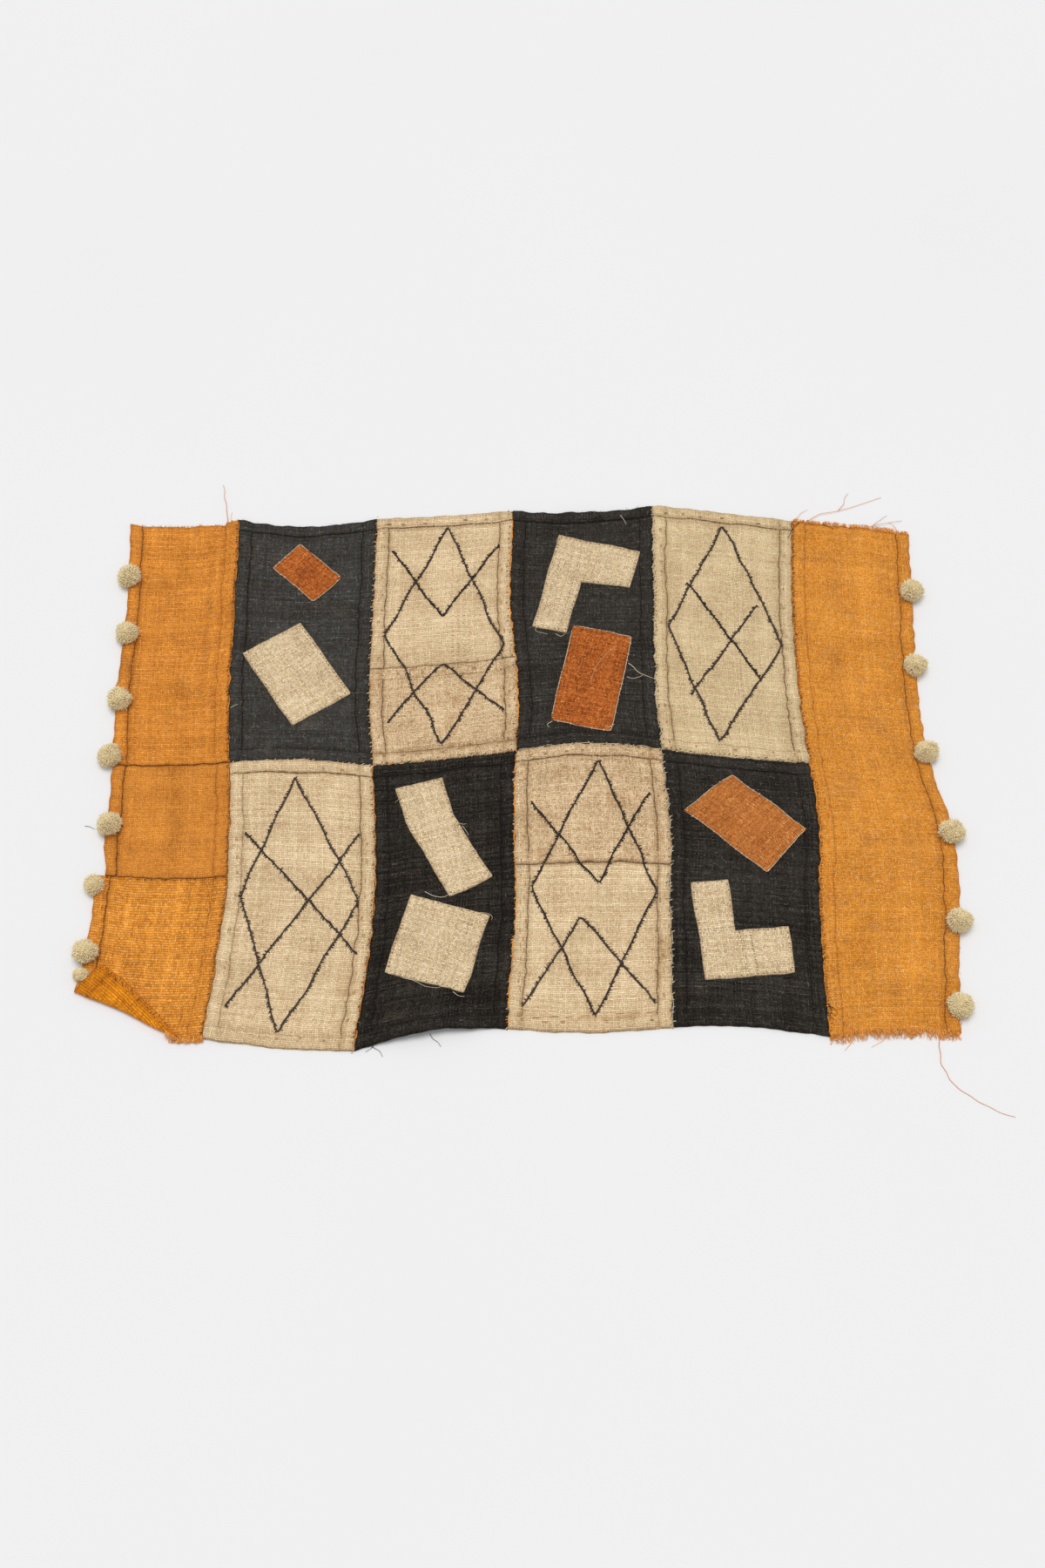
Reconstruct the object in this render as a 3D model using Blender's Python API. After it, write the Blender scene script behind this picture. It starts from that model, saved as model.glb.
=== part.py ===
"""A kuba raffia cloth laid out on a surface, face up.

Four columns of sewn panels stand between two borders. Patches are sewn on the black panels, cream pompoms
on both outer edges, and the raw ends of the borders are frayed. One lower corner is folded over.

Lengths in the tables are in millimetres: x runs to the right and y away from the viewer, both measured
from the middle of the panels. The finished solids are in metres, about an origin on the surface, under
the middle of the cloth with its pompoms and loose threads.
"""

import math
import random

import bmesh
import bpy
from mathutils import Vector

MM = 0.001

# Middle of the whole outline, pompoms and loose threads included, seen from the middle of the panels
ORIGIN = (9.6, 6.6)

# Sheets
THICKNESS = 1.2
GAP = 0.3
HEM = 10.0
HEM_STEP = 0.5
HEM_SLOPE = 0.8
PATCH_THICKNESS = 1.0
PATCH_CORNER = 2.5
OVER_HEM = THICKNESS + HEM_STEP + GAP

# Upright seams and outer edges, left to right: their x at each of these heights
STATIONS = (240, 160, 80, 20, -40, -90, -140, -205)
SEAMS = (
    (-317, -313.5, -315, -312, -311.5, -315, -318, -329),
    (-229, -228, -227, -223, -219.5, -218.5, -221.5, -227.5),
    (-118, -118.5, -119, -114.5, -110.5, -109, -111.5, -119),
    (-8, -9.5, -3, -5.5, -6.5, -5, -7.5, -12),
    (105, 104, 103, 107, 111, 109, 108.5, 107),
    (218, 213.5, 214, 218, 222, 218.5, 217.5, 218.5),
    (312, 309, 306.5, 310, 322, 322.5, 317.5, 312),
)

# Level seams and outer edges: their y where they meet each upright seam, and at the middle of each column
BOTTOM, MIDDLE, TOP = 0, 1, 2
CORNER_HEIGHTS = {
    BOTTOM: (-201, -207, -216, -199, -198, -206, -203),
    MIDDLE: (15.5, 18, 15, 28, 29, 17, 10),
    TOP: (239, 243, 244, 252, 257, 241, 228),
}
MIDWAY_HEIGHTS = {
    BOTTOM: (-208, -214, -203, -202, -198, -201),
    MIDDLE: (15.5, 20, 20.5, 35, 22, 13),
    TOP: (236, 236.5, 247, 249.5, 250, 236),
}

# Rows that every column has, so that neighbours meet point to point. Levels count from 0 at the bottom
# edge through 1 at the middle seam to 2 at the top edge; two of them are the cross seams.
LOWER_CROSS_SEAM = 0.57
UPPER_CROSS_SEAM = 1.375
SHARED_LEVELS = (
    0, 0.1, 0.2, 0.3, 0.4, 0.5, LOWER_CROSS_SEAM, 0.66, 0.76, 0.86, 0.93,
    1, 1.1, 1.2, 1.3, UPPER_CROSS_SEAM, 1.46, 1.56, 1.66, 1.76, 1.86, 1.93, 2,
)
INNER_COLUMNS = (0.28, 0.43, 0.57, 0.72)

# Sewn pieces: name, column, from level, to level, turned edges, cloth
PANELS = (
    ("border_left_bottom", 0, 0, LOWER_CROSS_SEAM, "left right", "orange_bright"),
    ("border_left_middle", 0, LOWER_CROSS_SEAM, 1, "left right", "orange_plain"),
    ("border_left_top", 0, 1, 2, "left right", "orange_brown"),
    ("panel_cream_bottom_left", 1, 0, 1, "left right bottom top", "cream"),
    ("panel_black_top_left", 1, 1, 2, "left right bottom top", "black"),
    ("panel_black_bottom_left", 2, 0, 1, "left right bottom top", "black"),
    ("panel_cream_cross_top", 2, 1, UPPER_CROSS_SEAM, "left right bottom top", "cream_pink"),
    ("panel_cream_top_left", 2, UPPER_CROSS_SEAM, 2, "left right top", "cream"),
    ("panel_cream_bottom_right", 3, 0, LOWER_CROSS_SEAM, "left right bottom", "cream"),
    ("panel_cream_cross_bottom", 3, LOWER_CROSS_SEAM, 1, "left right bottom top", "cream_pink"),
    ("panel_black_top_right", 3, 1, 2, "left right bottom top", "black"),
    ("panel_black_bottom_right", 4, 0, 1, "left right bottom top", "black"),
    ("panel_cream_top_right", 4, 1, 2, "left right bottom top", "cream_green"),
    ("border_right", 5, 0, 2, "left right", "orange_yellow"),
)

# Where a panel's left edge draws in towards its lower end: up to this level, and by how much
SETBACKS = {"border_left_middle": (0.68, 5.5)}
SETBACK_REACH = 0.2

# Places where the cloth stands off the surface: x, y, half length, half width, turn in degrees, height
LIFTS = (
    (-64, -206, 56, 22, 3, 6.5),
    (-262, -60, 34, 10, 35, 1.2),
    (50, 248, 46, 14, -4, 2.0),
    (-170, 20, 44, 12, -6, 1.0),
    (266, -70, 40, 14, 70, 1.4),
)

# The corner that is folded over: the flat piece beyond this line wraps round a bend
FOLDED_PANEL = "border_left_bottom"
FOLD_FROM = (-320.0, -169.9)
FOLD_TO = (-255.7, -199.6)
FOLD_RADIUS = 2.0
FOLD_STEPS = 4
FLAP_DROOP = 0.05

LEFT_EDGE, RIGHT_EDGE = 0, 6

# Pompoms: the cloth's edge that they sit on, y, diameter, how far outside the edge their middle is
POMPOMS = (
    (LEFT_EDGE, 185, 18.5, -1),
    (LEFT_EDGE, 132, 18, -4),
    (LEFT_EDGE, 71, 18.5, -4),
    (LEFT_EDGE, 22, 18, 2),
    (LEFT_EDGE, -37, 18.5, -2.5),
    (LEFT_EDGE, -87, 15, 1),
    (LEFT_EDGE, -141, 18.5, -1),
    (LEFT_EDGE, -158, 11, -2),
    (RIGHT_EDGE, 171, 18.5, -1),
    (RIGHT_EDGE, 102, 18, -1),
    (RIGHT_EDGE, 25, 18.5, -2),
    (RIGHT_EDGE, -43, 18.5, -2),
    (RIGHT_EDGE, -117, 18.5, -1),
    (RIGHT_EDGE, -183, 18.5, 0),
)
POMPOM_CORE = 0.41
POMPOM_CORE_HEIGHT = 0.31
POMPOM_MIDDLE = 0.33
POMPOM_EDGE_CLEARANCE = 0.7
POMPOM_EDGE_STEP = 0.03
LOCK_REACH = 1.3
LOCK_TAPER = 0.6
LEAST_LOCK_ROOT = 0.011

# Directions of a pompom's locks: degrees round from straight outward, degrees up
RESTING_LOCKS = ((-52, -28), (-18, -24), (16, -30), (50, -24))
UPPER_LOCKS = (
    (0, 12), (38, 14), (-40, 16), (84, 12), (-86, 10), (128, 16), (-130, 14), (176, 10),
    (30, 50), (150, 52), (-90, 50),
)

# Frayed raw ends: name, column, edge, from and to as shares of the column, threads, longest thread
FRAYS = (
    ("fray_left_top", 0, TOP, 0.86, 0.99, 4, 1.6),
    ("fray_left_bottom", 0, BOTTOM, 0.76, 0.99, 10, 3.2),
    ("fray_right_top", 5, TOP, 0.01, 0.99, 34, 3.2),
    ("fray_right_bottom", 5, BOTTOM, 0.01, 0.99, 34, 4.6),
)
FRAY_STRIP = 1.4
SHORTEST_THREAD = 0.45
THREAD_LEAN = 0.25
STUMP_BESIDE_LOOSE_THREAD = 0.3
THREAD_ROOT = 0.8
THREAD_HEIGHT = 1.0
THREAD_TIP_WIDTH = 0.5
THREAD_TIP_HEIGHT = 0.6
FRAY_SEED = 11

# Loose threads of the frayed ends: the strip, the thread's number from the left, and its course
LOOSE_THREADS = (
    ("fray_left_top", 0, ((-241, 258), (-244, 270), (-245, 279))),
    ("fray_right_top", 3, ((238, 248), (257, 252), (275, 258.5), (294, 266.5))),
    ("fray_right_top", 30, ((301, 241), (306, 242.5))),
    ("fray_right_bottom", 5, ((233, -211), (229, -216))),
    (
        "fray_right_bottom", 29,
        (
            (296.5, -216), (296, -224), (300, -236.5), (308, -245.5),
            (321, -254.5), (336, -263), (345, -265.5),
        ),
    ),
)


def rectangle(width, height, longer_below=0):
    """Corners of a plain patch about its middle, its lower side longer at the left by a given length."""
    across, along = width / 2, height / 2
    return [(-across - longer_below, -along), (across, -along), (across, along), (-across, along)]


def angle_piece(width, arm, height, leg, flare=0):
    """Corners of an L about the middle of its outer box, its leg at the left and its arm along the top.

    The arm is wider at the inner corner than at its end by the flare.
    """
    left, right, low, high = -width / 2, width / 2, -height / 2, height / 2
    inner = (left + leg, high - arm - flare)
    return [(left, low), (left + leg, low), inner, (right, high - arm), (right, high), (left, high)]


def bent_strip(width, upper, lower, bend):
    """Corners of a strip that turns by an angle at the middle, its upper end level."""
    side = width / 2
    turn = math.radians(bend)
    mitre = side * math.tan(turn / 2)
    along = Vector((math.sin(turn), -math.cos(turn)))
    across = Vector((math.cos(turn), math.sin(turn))) * side
    end = along * lower
    return [
        (-side, upper), (-side, mitre), tuple(end - across),
        tuple(end + across), (side, -mitre), (side, upper),
    ]


# Patches on the black panels: name, x, y, turn in degrees, outline, cloth
PATCHES = (
    ("patch_rust_top_left", -172, 191, -43, rectangle(48, 32), "rust"),
    ("patch_cream_top_left", -176, 97, -57, rectangle(78, 53), "cream_pale"),
    ("patch_cream_bent", -70.5, -29, 15, bent_strip(36, 30, 67, 14), "cream_pale"),
    ("patch_cream_square", -62, -133, -16, rectangle(61, 65), "cream_pale"),
    ("patch_cream_angle_top", 51, 176, -14, angle_piece(67, 36, 90, 28, flare=5), "cream_pale"),
    ("patch_rust_top_right", 54, 93, -12, rectangle(48, 88), "rust"),
    ("patch_rust_bottom_right", 170, -34, -41, rectangle(71, 48, longer_below=9), "rust_light"),
    ("patch_cream_angle_bottom", 161, -120, 5, angle_piece(66, 37, 78, 27), "cream_pale"),
)
MIRRORED_PATCH = "patch_cream_angle_bottom"

# Colours of the cloths, as linear red, green and blue, with their roughness
CLOTHS = {
    "orange_bright": ((0.71, 0.28, 0.045), 0.85),
    "orange_plain": ((0.64, 0.24, 0.042), 0.85),
    "orange_brown": ((0.65, 0.245, 0.042), 0.85),
    "orange_yellow": ((0.68, 0.275, 0.05), 0.85),
    "black": ((0.035, 0.031, 0.027), 0.9),
    "cream": ((0.58, 0.42, 0.24), 0.88),
    "cream_pink": ((0.59, 0.42, 0.25), 0.88),
    "cream_green": ((0.60, 0.44, 0.25), 0.88),
    "cream_pale": ((0.66, 0.51, 0.31), 0.88),
    "rust": ((0.40, 0.11, 0.028), 0.85),
    "rust_light": ((0.46, 0.15, 0.04), 0.85),
    "pompom_yarn": ((0.67, 0.47, 0.25), 0.95),
}


def blend(start, end, share):
    return start + (end - start) * share


def smooth_curve(stations, values, at):
    """Value at a height on the smooth curve through values at falling stations."""
    if at >= stations[0]:
        return values[0]
    if at <= stations[-1]:
        return values[-1]
    slopes = []
    for i in range(len(stations)):
        before, after = max(i - 1, 0), min(i + 1, len(stations) - 1)
        slopes.append((values[after] - values[before]) / (stations[after] - stations[before]))
    i = max(k for k in range(len(stations) - 1) if stations[k] >= at)
    span = stations[i + 1] - stations[i]
    t = (at - stations[i]) / span
    return (
        (2 * t**3 - 3 * t**2 + 1) * values[i] + (t**3 - 2 * t**2 + t) * span * slopes[i]
        + (3 * t**2 - 2 * t**3) * values[i + 1] + (t**3 - t**2) * span * slopes[i + 1]
    )


def line_height(line, column, u):
    """Height of a level line part of the way across a column, on a parabola through three points."""
    left, right = CORNER_HEIGHTS[line][column], CORNER_HEIGHTS[line][column + 1]
    midway = MIDWAY_HEIGHTS[line][column]
    return left * (1 - u) * (1 - 2 * u) + 4 * midway * u * (1 - u) + right * u * (2 * u - 1)


def height_at(column, u, level):
    if level <= 1:
        return blend(line_height(BOTTOM, column, u), line_height(MIDDLE, column, u), level)
    return blend(line_height(MIDDLE, column, u), line_height(TOP, column, u), level - 1)


def seam_height(seam, level):
    below = BOTTOM if level <= 1 else MIDDLE
    return blend(CORNER_HEIGHTS[below][seam], CORNER_HEIGHTS[below + 1][seam], level - below)


def seam_x(seam, level):
    """x of an upright seam at a level: straight between the shared levels, so that neighbours meet."""
    i = max(k for k in range(len(SHARED_LEVELS) - 1) if SHARED_LEVELS[k] <= level)
    low, high = SHARED_LEVELS[i], SHARED_LEVELS[i + 1]
    low_x = smooth_curve(STATIONS, SEAMS[seam], seam_height(seam, low))
    high_x = smooth_curve(STATIONS, SEAMS[seam], seam_height(seam, high))
    return blend(low_x, high_x, (level - low) / (high - low))


def place(column, u, level):
    x = blend(seam_x(column, level), seam_x(column + 1, level), u)
    return x, height_at(column, u, level)


def lift_at(x, y):
    """How far the underside of the cloth stands off the surface."""
    highest = 0.0
    for middle_x, middle_y, half_length, half_width, turn, height in LIFTS:
        angle = math.radians(turn)
        dx, dy = x - middle_x, y - middle_y
        along = (dx * math.cos(angle) + dy * math.sin(angle)) / half_length
        across = (dy * math.cos(angle) - dx * math.sin(angle)) / half_width
        distance = along**2 + across**2
        if distance < 1:
            highest = max(highest, height * (1 - distance) ** 2)
    return highest


def make_material(name):
    colour, roughness = CLOTHS[name]
    material = bpy.data.materials.new(name)
    material.use_nodes = True
    shader = material.node_tree.nodes["Principled BSDF"]
    shader.inputs["Base Color"].default_value = (*colour, 1)
    shader.inputs["Roughness"].default_value = roughness
    shader.inputs["Metallic"].default_value = 0
    material.diffuse_color = (*colour, 1)
    return material


def add_object(name, bm, cloth):
    """Turns a mesh in the tables' millimetres into an object in metres about the origin."""
    for vert in bm.verts:
        vert.co = Vector((vert.co.x - ORIGIN[0], vert.co.y - ORIGIN[1], vert.co.z)) * MM
    bmesh.ops.recalc_face_normals(bm, faces=bm.faces)
    mesh = bpy.data.meshes.new(name)
    bm.to_mesh(mesh)
    bm.free()
    mesh.materials.append(make_material(cloth))
    obj = bpy.data.objects.new(name, mesh)
    bpy.context.scene.collection.objects.link(obj)
    return obj


def panel_lines(start, end, inner, hem, slope, turned_start, turned_end):
    """Shares at which a panel has lines: its ends, the inner ones, and two for each turned edge."""
    lines = {start, end}
    if turned_start:
        lines |= {start + hem, start + hem + slope}
    if turned_end:
        lines |= {end - hem, end - hem - slope}
    lines |= {line for line in inner if start < line < end}
    return sorted(lines)


def add_closed_grid(bm, top, bottom):
    """Faces of a sheet from the rows of its upper and lower points, with its four narrow sides."""
    upper = [[bm.verts.new(point) for point in row] for row in top]
    lower = [[bm.verts.new(point) for point in row] for row in bottom]
    last_row, last = len(top) - 1, len(top[0]) - 1
    for j in range(last_row):
        for i in range(last):
            bm.faces.new((upper[j][i], upper[j][i + 1], upper[j + 1][i + 1], upper[j + 1][i]))
            bm.faces.new((lower[j + 1][i], lower[j + 1][i + 1], lower[j][i + 1], lower[j][i]))
    near, far = (lower[0], upper[0]), (lower[-1], upper[-1])
    for i in range(last):
        bm.faces.new((near[0][i], near[0][i + 1], near[1][i + 1], near[1][i]))
        bm.faces.new((far[1][i], far[1][i + 1], far[0][i + 1], far[0][i]))
    for j in range(last_row):
        bm.faces.new((upper[j][0], upper[j + 1][0], lower[j + 1][0], lower[j][0]))
        bm.faces.new((lower[j][last], lower[j + 1][last], upper[j + 1][last], upper[j][last]))


def fold_over(bm):
    """Wraps what lies beyond the fold line up round the bend and back over the sheet."""
    start = Vector((*FOLD_FROM, 0))
    along = (Vector((*FOLD_TO, 0)) - start).normalized()
    inward = Vector((-along.y, along.x, 0))
    bend_height = THICKNESS / 2 + FOLD_RADIUS
    half_turn = math.pi * FOLD_RADIUS
    for step in range(FOLD_STEPS + 1):
        bmesh.ops.bisect_plane(
            bm, geom=bm.verts[:] + bm.edges[:] + bm.faces[:], dist=1e-4,
            plane_co=start - inward * half_turn * step / FOLD_STEPS, plane_no=inward,
        )
    bmesh.ops.triangulate(bm, faces=[face for face in bm.faces if len(face.verts) > 4])
    for vert in bm.verts:
        beyond = -(vert.co - start).dot(inward)
        if beyond <= 0:
            continue
        on_line = vert.co + inward * beyond
        radius = bend_height - vert.co.z
        angle = min(beyond / FOLD_RADIUS, math.pi)
        back = max(beyond - half_turn, 0)
        spread = inward * (back - radius * math.sin(angle))
        height = bend_height - radius * math.cos(angle) - back * FLAP_DROOP
        vert.co = Vector((on_line.x + spread.x, on_line.y + spread.y, height))


def setback_at(name, start, level):
    reach, most = SETBACKS.get(name, (start, 0))
    return most * (reach - level) / (reach - start) if level < reach else 0


def make_panel(name, column, start, end, turned, cloth):
    """One sewn piece of cloth: a sheet with its turned edges standing a little higher."""
    width = abs(seam_x(column + 1, 1) - seam_x(column, 1))
    tall = abs(seam_height(column, 1) - seam_height(column, 0))
    columns = panel_lines(
        0, 1, INNER_COLUMNS, HEM / width, HEM_SLOPE / width, "left" in turned, "right" in turned
    )
    levels = panel_lines(
        start, end, SHARED_LEVELS, HEM / tall, HEM_SLOPE / tall, "bottom" in turned, "top" in turned
    )
    top, bottom = [], []
    for level in levels:
        top.append([])
        bottom.append([])
        for u in columns:
            x, y = place(column, u, level)
            x += GAP / 2 * ((u == 0) - (u == 1))
            y += GAP / 2 * ((level == start) - (level == end))
            if u < SETBACK_REACH:
                x += setback_at(name, start, level)
            in_hem = (
                ("left" in turned and u < columns[2]) or ("right" in turned and u > columns[-3])
                or ("bottom" in turned and level < levels[2]) or ("top" in turned and level > levels[-3])
            )
            low = lift_at(x, y)
            bottom[-1].append((x, y, low))
            top[-1].append((x, y, low + THICKNESS + HEM_STEP * in_hem))
    bm = bmesh.new()
    add_closed_grid(bm, top, bottom)
    if name == FOLDED_PANEL:
        fold_over(bm)
    add_object(name, bm, cloth)


def round_corners(outline, radius):
    """Outline with each corner replaced by three points on an arc."""
    rounded = []
    for i, corner in enumerate(outline):
        corner = Vector(corner)
        before, after = Vector(outline[i - 1]), Vector(outline[(i + 1) % len(outline)])
        entry = corner + (before - corner).normalized() * radius
        leave = corner + (after - corner).normalized() * radius
        rounded += [entry, (entry + leave) / 4 + corner / 2, leave]
    return rounded


def make_patch(name, x, y, turn, outline, cloth):
    """A sewn patch: a flat sheet just above the panel and its hems."""
    angle = math.radians(turn)
    bm = bmesh.new()
    ring = []
    for point in round_corners(outline, PATCH_CORNER):
        across, up = (point.x, -point.y) if name == MIRRORED_PATCH else (point.x, point.y)
        ring.append(
            bm.verts.new(
                (
                    x + across * math.cos(angle) - up * math.sin(angle),
                    y + across * math.sin(angle) + up * math.cos(angle),
                    OVER_HEM,
                )
            )
        )
    face = bm.faces.new(ring)
    raised = bmesh.ops.extrude_face_region(bm, geom=[face])["geom"]
    for vert in raised:
        if isinstance(vert, bmesh.types.BMVert):
            vert.co.z += PATCH_THICKNESS
    bmesh.ops.triangulate(bm, faces=bm.faces)
    add_object(name, bm, cloth)


def edge_level(seam, y):
    """Level at which an outer edge reaches a height."""
    below = BOTTOM if y <= CORNER_HEIGHTS[MIDDLE][seam] else MIDDLE
    low, high = CORNER_HEIGHTS[below][seam], CORNER_HEIGHTS[below + 1][seam]
    return below + (y - low) / (high - low)


def nearest_face(bm, middle, direction, used, reach, least_area):
    """The unused face furthest along a direction whose points all lie at least so far outward."""
    outward, least = reach
    found = [
        face for face in bm.faces
        if face not in used and face.calc_area() > least_area
        and all((vert.co - middle).dot(outward) >= least for vert in face.verts)
    ]
    return max(found, key=lambda face: (face.calc_center_median() - middle).normalized().dot(direction))


def make_pompom(name, seam, y, diameter, outside):
    """A ball of cut yarn on the cloth's edge, its inner half above the hem and its outer half beside it."""
    level = edge_level(seam, y)
    edge = Vector((seam_x(seam, level), y, 0))
    further = level + POMPOM_EDGE_STEP
    up = Vector((seam_x(seam, further), seam_height(seam, further), 0)) - edge
    side = -1 if seam == LEFT_EDGE else 1
    outward = Vector((up.y, -up.x, 0)).normalized() * side
    along = Vector((-outward.y, outward.x, 0))
    edge_distance = POMPOM_EDGE_CLEARANCE - outside
    middle = edge + outward * outside + Vector((0, 0, POMPOM_MIDDLE * diameter))
    bm = bmesh.new()
    bmesh.ops.create_icosphere(bm, subdivisions=2, radius=1)
    for vert in bm.verts:
        ball = vert.co.copy()
        vert.co = middle + (outward * ball.x + along * ball.y) * POMPOM_CORE * diameter
        vert.co.z += ball.z * POMPOM_CORE_HEIGHT * diameter
    bmesh.ops.bisect_plane(
        bm, geom=bm.verts[:] + bm.edges[:] + bm.faces[:], dist=1e-4,
        plane_co=middle + outward * edge_distance, plane_no=outward,
    )
    bmesh.ops.triangulate(bm, faces=bm.faces)
    for vert in bm.verts:
        if (vert.co - middle).dot(outward) <= edge_distance + 1e-3:
            vert.co.z = max(vert.co.z, OVER_HEM)
    used = set()
    locks = [(*lock, True) for lock in RESTING_LOCKS] + [(*lock, False) for lock in UPPER_LOCKS]
    for turn, rise, rests in locks:
        azimuth, elevation = math.radians(turn), math.radians(rise)
        direction = (outward * math.cos(azimuth) + along * math.sin(azimuth)) * math.cos(elevation)
        direction.z = math.sin(elevation)
        reach = (outward, edge_distance + 0.2) if rests else (outward, -diameter)
        face = nearest_face(bm, middle, direction, used, reach, LEAST_LOCK_ROOT * diameter**2)
        over_cloth = min((vert.co - middle).dot(outward) for vert in face.verts) < edge_distance
        tip = bmesh.ops.extrude_discrete_faces(bm, faces=[face])["faces"][0]
        used |= {tip} | {link for edge_of in tip.edges for link in edge_of.link_faces}
        centre = tip.calc_center_median()
        target = middle + (centre - middle) * LOCK_REACH
        for vert in tip.verts:
            vert.co = target + (vert.co - centre) * LOCK_TAPER
        lowest = min(vert.co.z for vert in tip.verts)
        floor = OVER_HEM if over_cloth else 0
        if rests or lowest < floor:
            for vert in tip.verts:
                vert.co.z += floor - lowest
    add_object(name, bm, "pompom_yarn")


def draw_out_thread(bm, face, course, root_width):
    """Extrudes one face of the strip along a course on the surface, thinner towards its tip."""
    centre = face.calc_center_median()
    heading = face.normal.copy()
    for count, (x, y, share) in enumerate(course):
        target = Vector((x, y, 0))
        across_before = Vector((-heading.y, heading.x, 0)).normalized()
        step = Vector((target.x - centre.x, target.y - centre.y, 0)).normalized()
        following = course[count + 1] if count + 1 < len(course) else None
        heading = step
        if following:
            heading = (step + (Vector((following[0], following[1], 0)) - target).normalized()).normalized()
        across = Vector((-heading.y, heading.x, 0))
        width = blend(root_width, THREAD_TIP_WIDTH, share)
        height = blend(THREAD_HEIGHT, THREAD_TIP_HEIGHT, share)
        face = bmesh.ops.extrude_discrete_faces(bm, faces=[face])["faces"][0]
        for vert in face.verts:
            side = math.copysign(width / 2, (vert.co - centre).dot(across_before))
            vert.co = target + across * side + Vector((0, 0, height if vert.co.z > centre.z else 0))
        centre = face.calc_center_median()


def make_fray(name, column, line, start, end, threads, longest):
    """A narrow strip along a raw end, and the short threads that stand out of it."""
    outward = 1 if line == TOP else -1
    chance = random.Random(FRAY_SEED + threads + line)
    spaces = 2 * threads + 1
    inner, outer = [], []
    for i in range(spaces + 1):
        x, y = place(column, blend(start, end, i / spaces), line)
        y += outward * GAP / 2
        inner.append((x, y))
        outer.append((x, y + outward * FRAY_STRIP))
    rows = [inner, outer] if outward > 0 else [outer, inner]
    bm = bmesh.new()
    add_closed_grid(
        bm,
        [[(x, y, THICKNESS) for x, y in row] for row in rows],
        [[(x, y, 0) for x, y in row] for row in rows],
    )
    bm.normal_update()
    bmesh.ops.recalc_face_normals(bm, faces=bm.faces)
    outer_faces = [face for face in bm.faces if face.normal.y * outward > 0.5]
    outer_faces.sort(key=lambda face: face.calc_center_median().x)
    courses = {number: course for strip, number, course in LOOSE_THREADS if strip == name}
    for number in range(threads):
        face = outer_faces[2 * number + 1]
        centre = face.calc_center_median()
        length = longest * chance.uniform(SHORTEST_THREAD, 1)
        lean = length * chance.uniform(-THREAD_LEAN, THREAD_LEAN)
        if number in courses:
            points = courses[number]
        elif number - 1 in courses or number + 1 in courses:
            points = ((centre.x, centre.y + outward * longest * STUMP_BESIDE_LOOSE_THREAD),)
        else:
            points = ((centre.x + lean, centre.y + outward * length),)
        course = [(x, y, (i + 1) / len(points)) for i, (x, y) in enumerate(points)]
        draw_out_thread(bm, face, course, face.calc_area() / THICKNESS * THREAD_ROOT)
    add_object(name, bm, "orange_brown" if column == 0 else "orange_yellow")


def main():
    for obj in list(bpy.data.objects):
        bpy.data.objects.remove(obj, do_unlink=True)
    for row in PANELS:
        make_panel(*row)
    for row in PATCHES:
        make_patch(*row)
    for number, row in enumerate(POMPOMS, 1):
        make_pompom(f"pompom_{number:02d}", *row)
    for row in FRAYS:
        make_fray(*row)


main()
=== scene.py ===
"""Looks of a kuba raffia cloth laid out on a pale floor.

Woven sheets, patches, sewing threads, embroidered lines, yarn pompoms and frayed ends stand over the
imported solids. Lengths in the tables are in millimetres: x runs to the right and y away from the viewer,
both measured from the middle of the panels, as in the tables that the solids were made from.
"""

import math
from collections import namedtuple

import bpy
import numpy as np
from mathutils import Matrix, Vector
from mathutils.bvhtree import BVHTree


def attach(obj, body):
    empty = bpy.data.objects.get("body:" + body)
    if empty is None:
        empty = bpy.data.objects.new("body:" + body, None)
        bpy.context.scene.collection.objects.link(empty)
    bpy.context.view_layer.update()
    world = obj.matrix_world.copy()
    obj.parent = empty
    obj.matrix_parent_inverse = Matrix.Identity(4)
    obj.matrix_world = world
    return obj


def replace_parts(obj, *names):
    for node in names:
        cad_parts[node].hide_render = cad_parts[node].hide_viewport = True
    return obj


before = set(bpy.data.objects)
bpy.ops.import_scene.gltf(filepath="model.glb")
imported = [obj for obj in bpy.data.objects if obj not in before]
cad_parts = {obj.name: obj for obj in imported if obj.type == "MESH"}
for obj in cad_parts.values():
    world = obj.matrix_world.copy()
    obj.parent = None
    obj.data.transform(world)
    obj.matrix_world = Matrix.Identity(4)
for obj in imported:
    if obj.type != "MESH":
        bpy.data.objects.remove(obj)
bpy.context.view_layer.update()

MM = 0.001
ORIGIN = (9.6, 6.6)

# Sheets
THICKNESS = 1.2
GAP = 0.1
HEM = 10.0
HEM_STEP = 0.5
HEM_CROWN = 0.45
PATCH_THICKNESS = 0.8
PATCH_CORNER = 1.3
PATCH_CLEARANCE = 0.1
GRID_STEP = 2.4
FOLDED_GRID_STEP = 1.2

# Upright seams and outer edges, left to right: their x at each of these heights
STATIONS = (240, 160, 80, 20, -40, -90, -140, -205)
SEAMS = (
    (-317, -313.5, -315, -312, -311.5, -315, -318, -329),
    (-229, -228, -227, -223, -219.5, -218.5, -221.5, -227.5),
    (-118, -118.5, -119, -114.5, -110.5, -109, -111.5, -119),
    (-8, -9.5, -3, -5.5, -6.5, -5, -7.5, -12),
    (105, 104, 103, 107, 111, 109, 108.5, 107),
    (218, 213.5, 214, 218, 222, 218.5, 217.5, 218.5),
    (312, 309, 306.5, 310, 322, 322.5, 317.5, 312),
)
SEAM_WAVER = 0.45
SEAM_WAVER_LENGTH = 13

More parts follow.
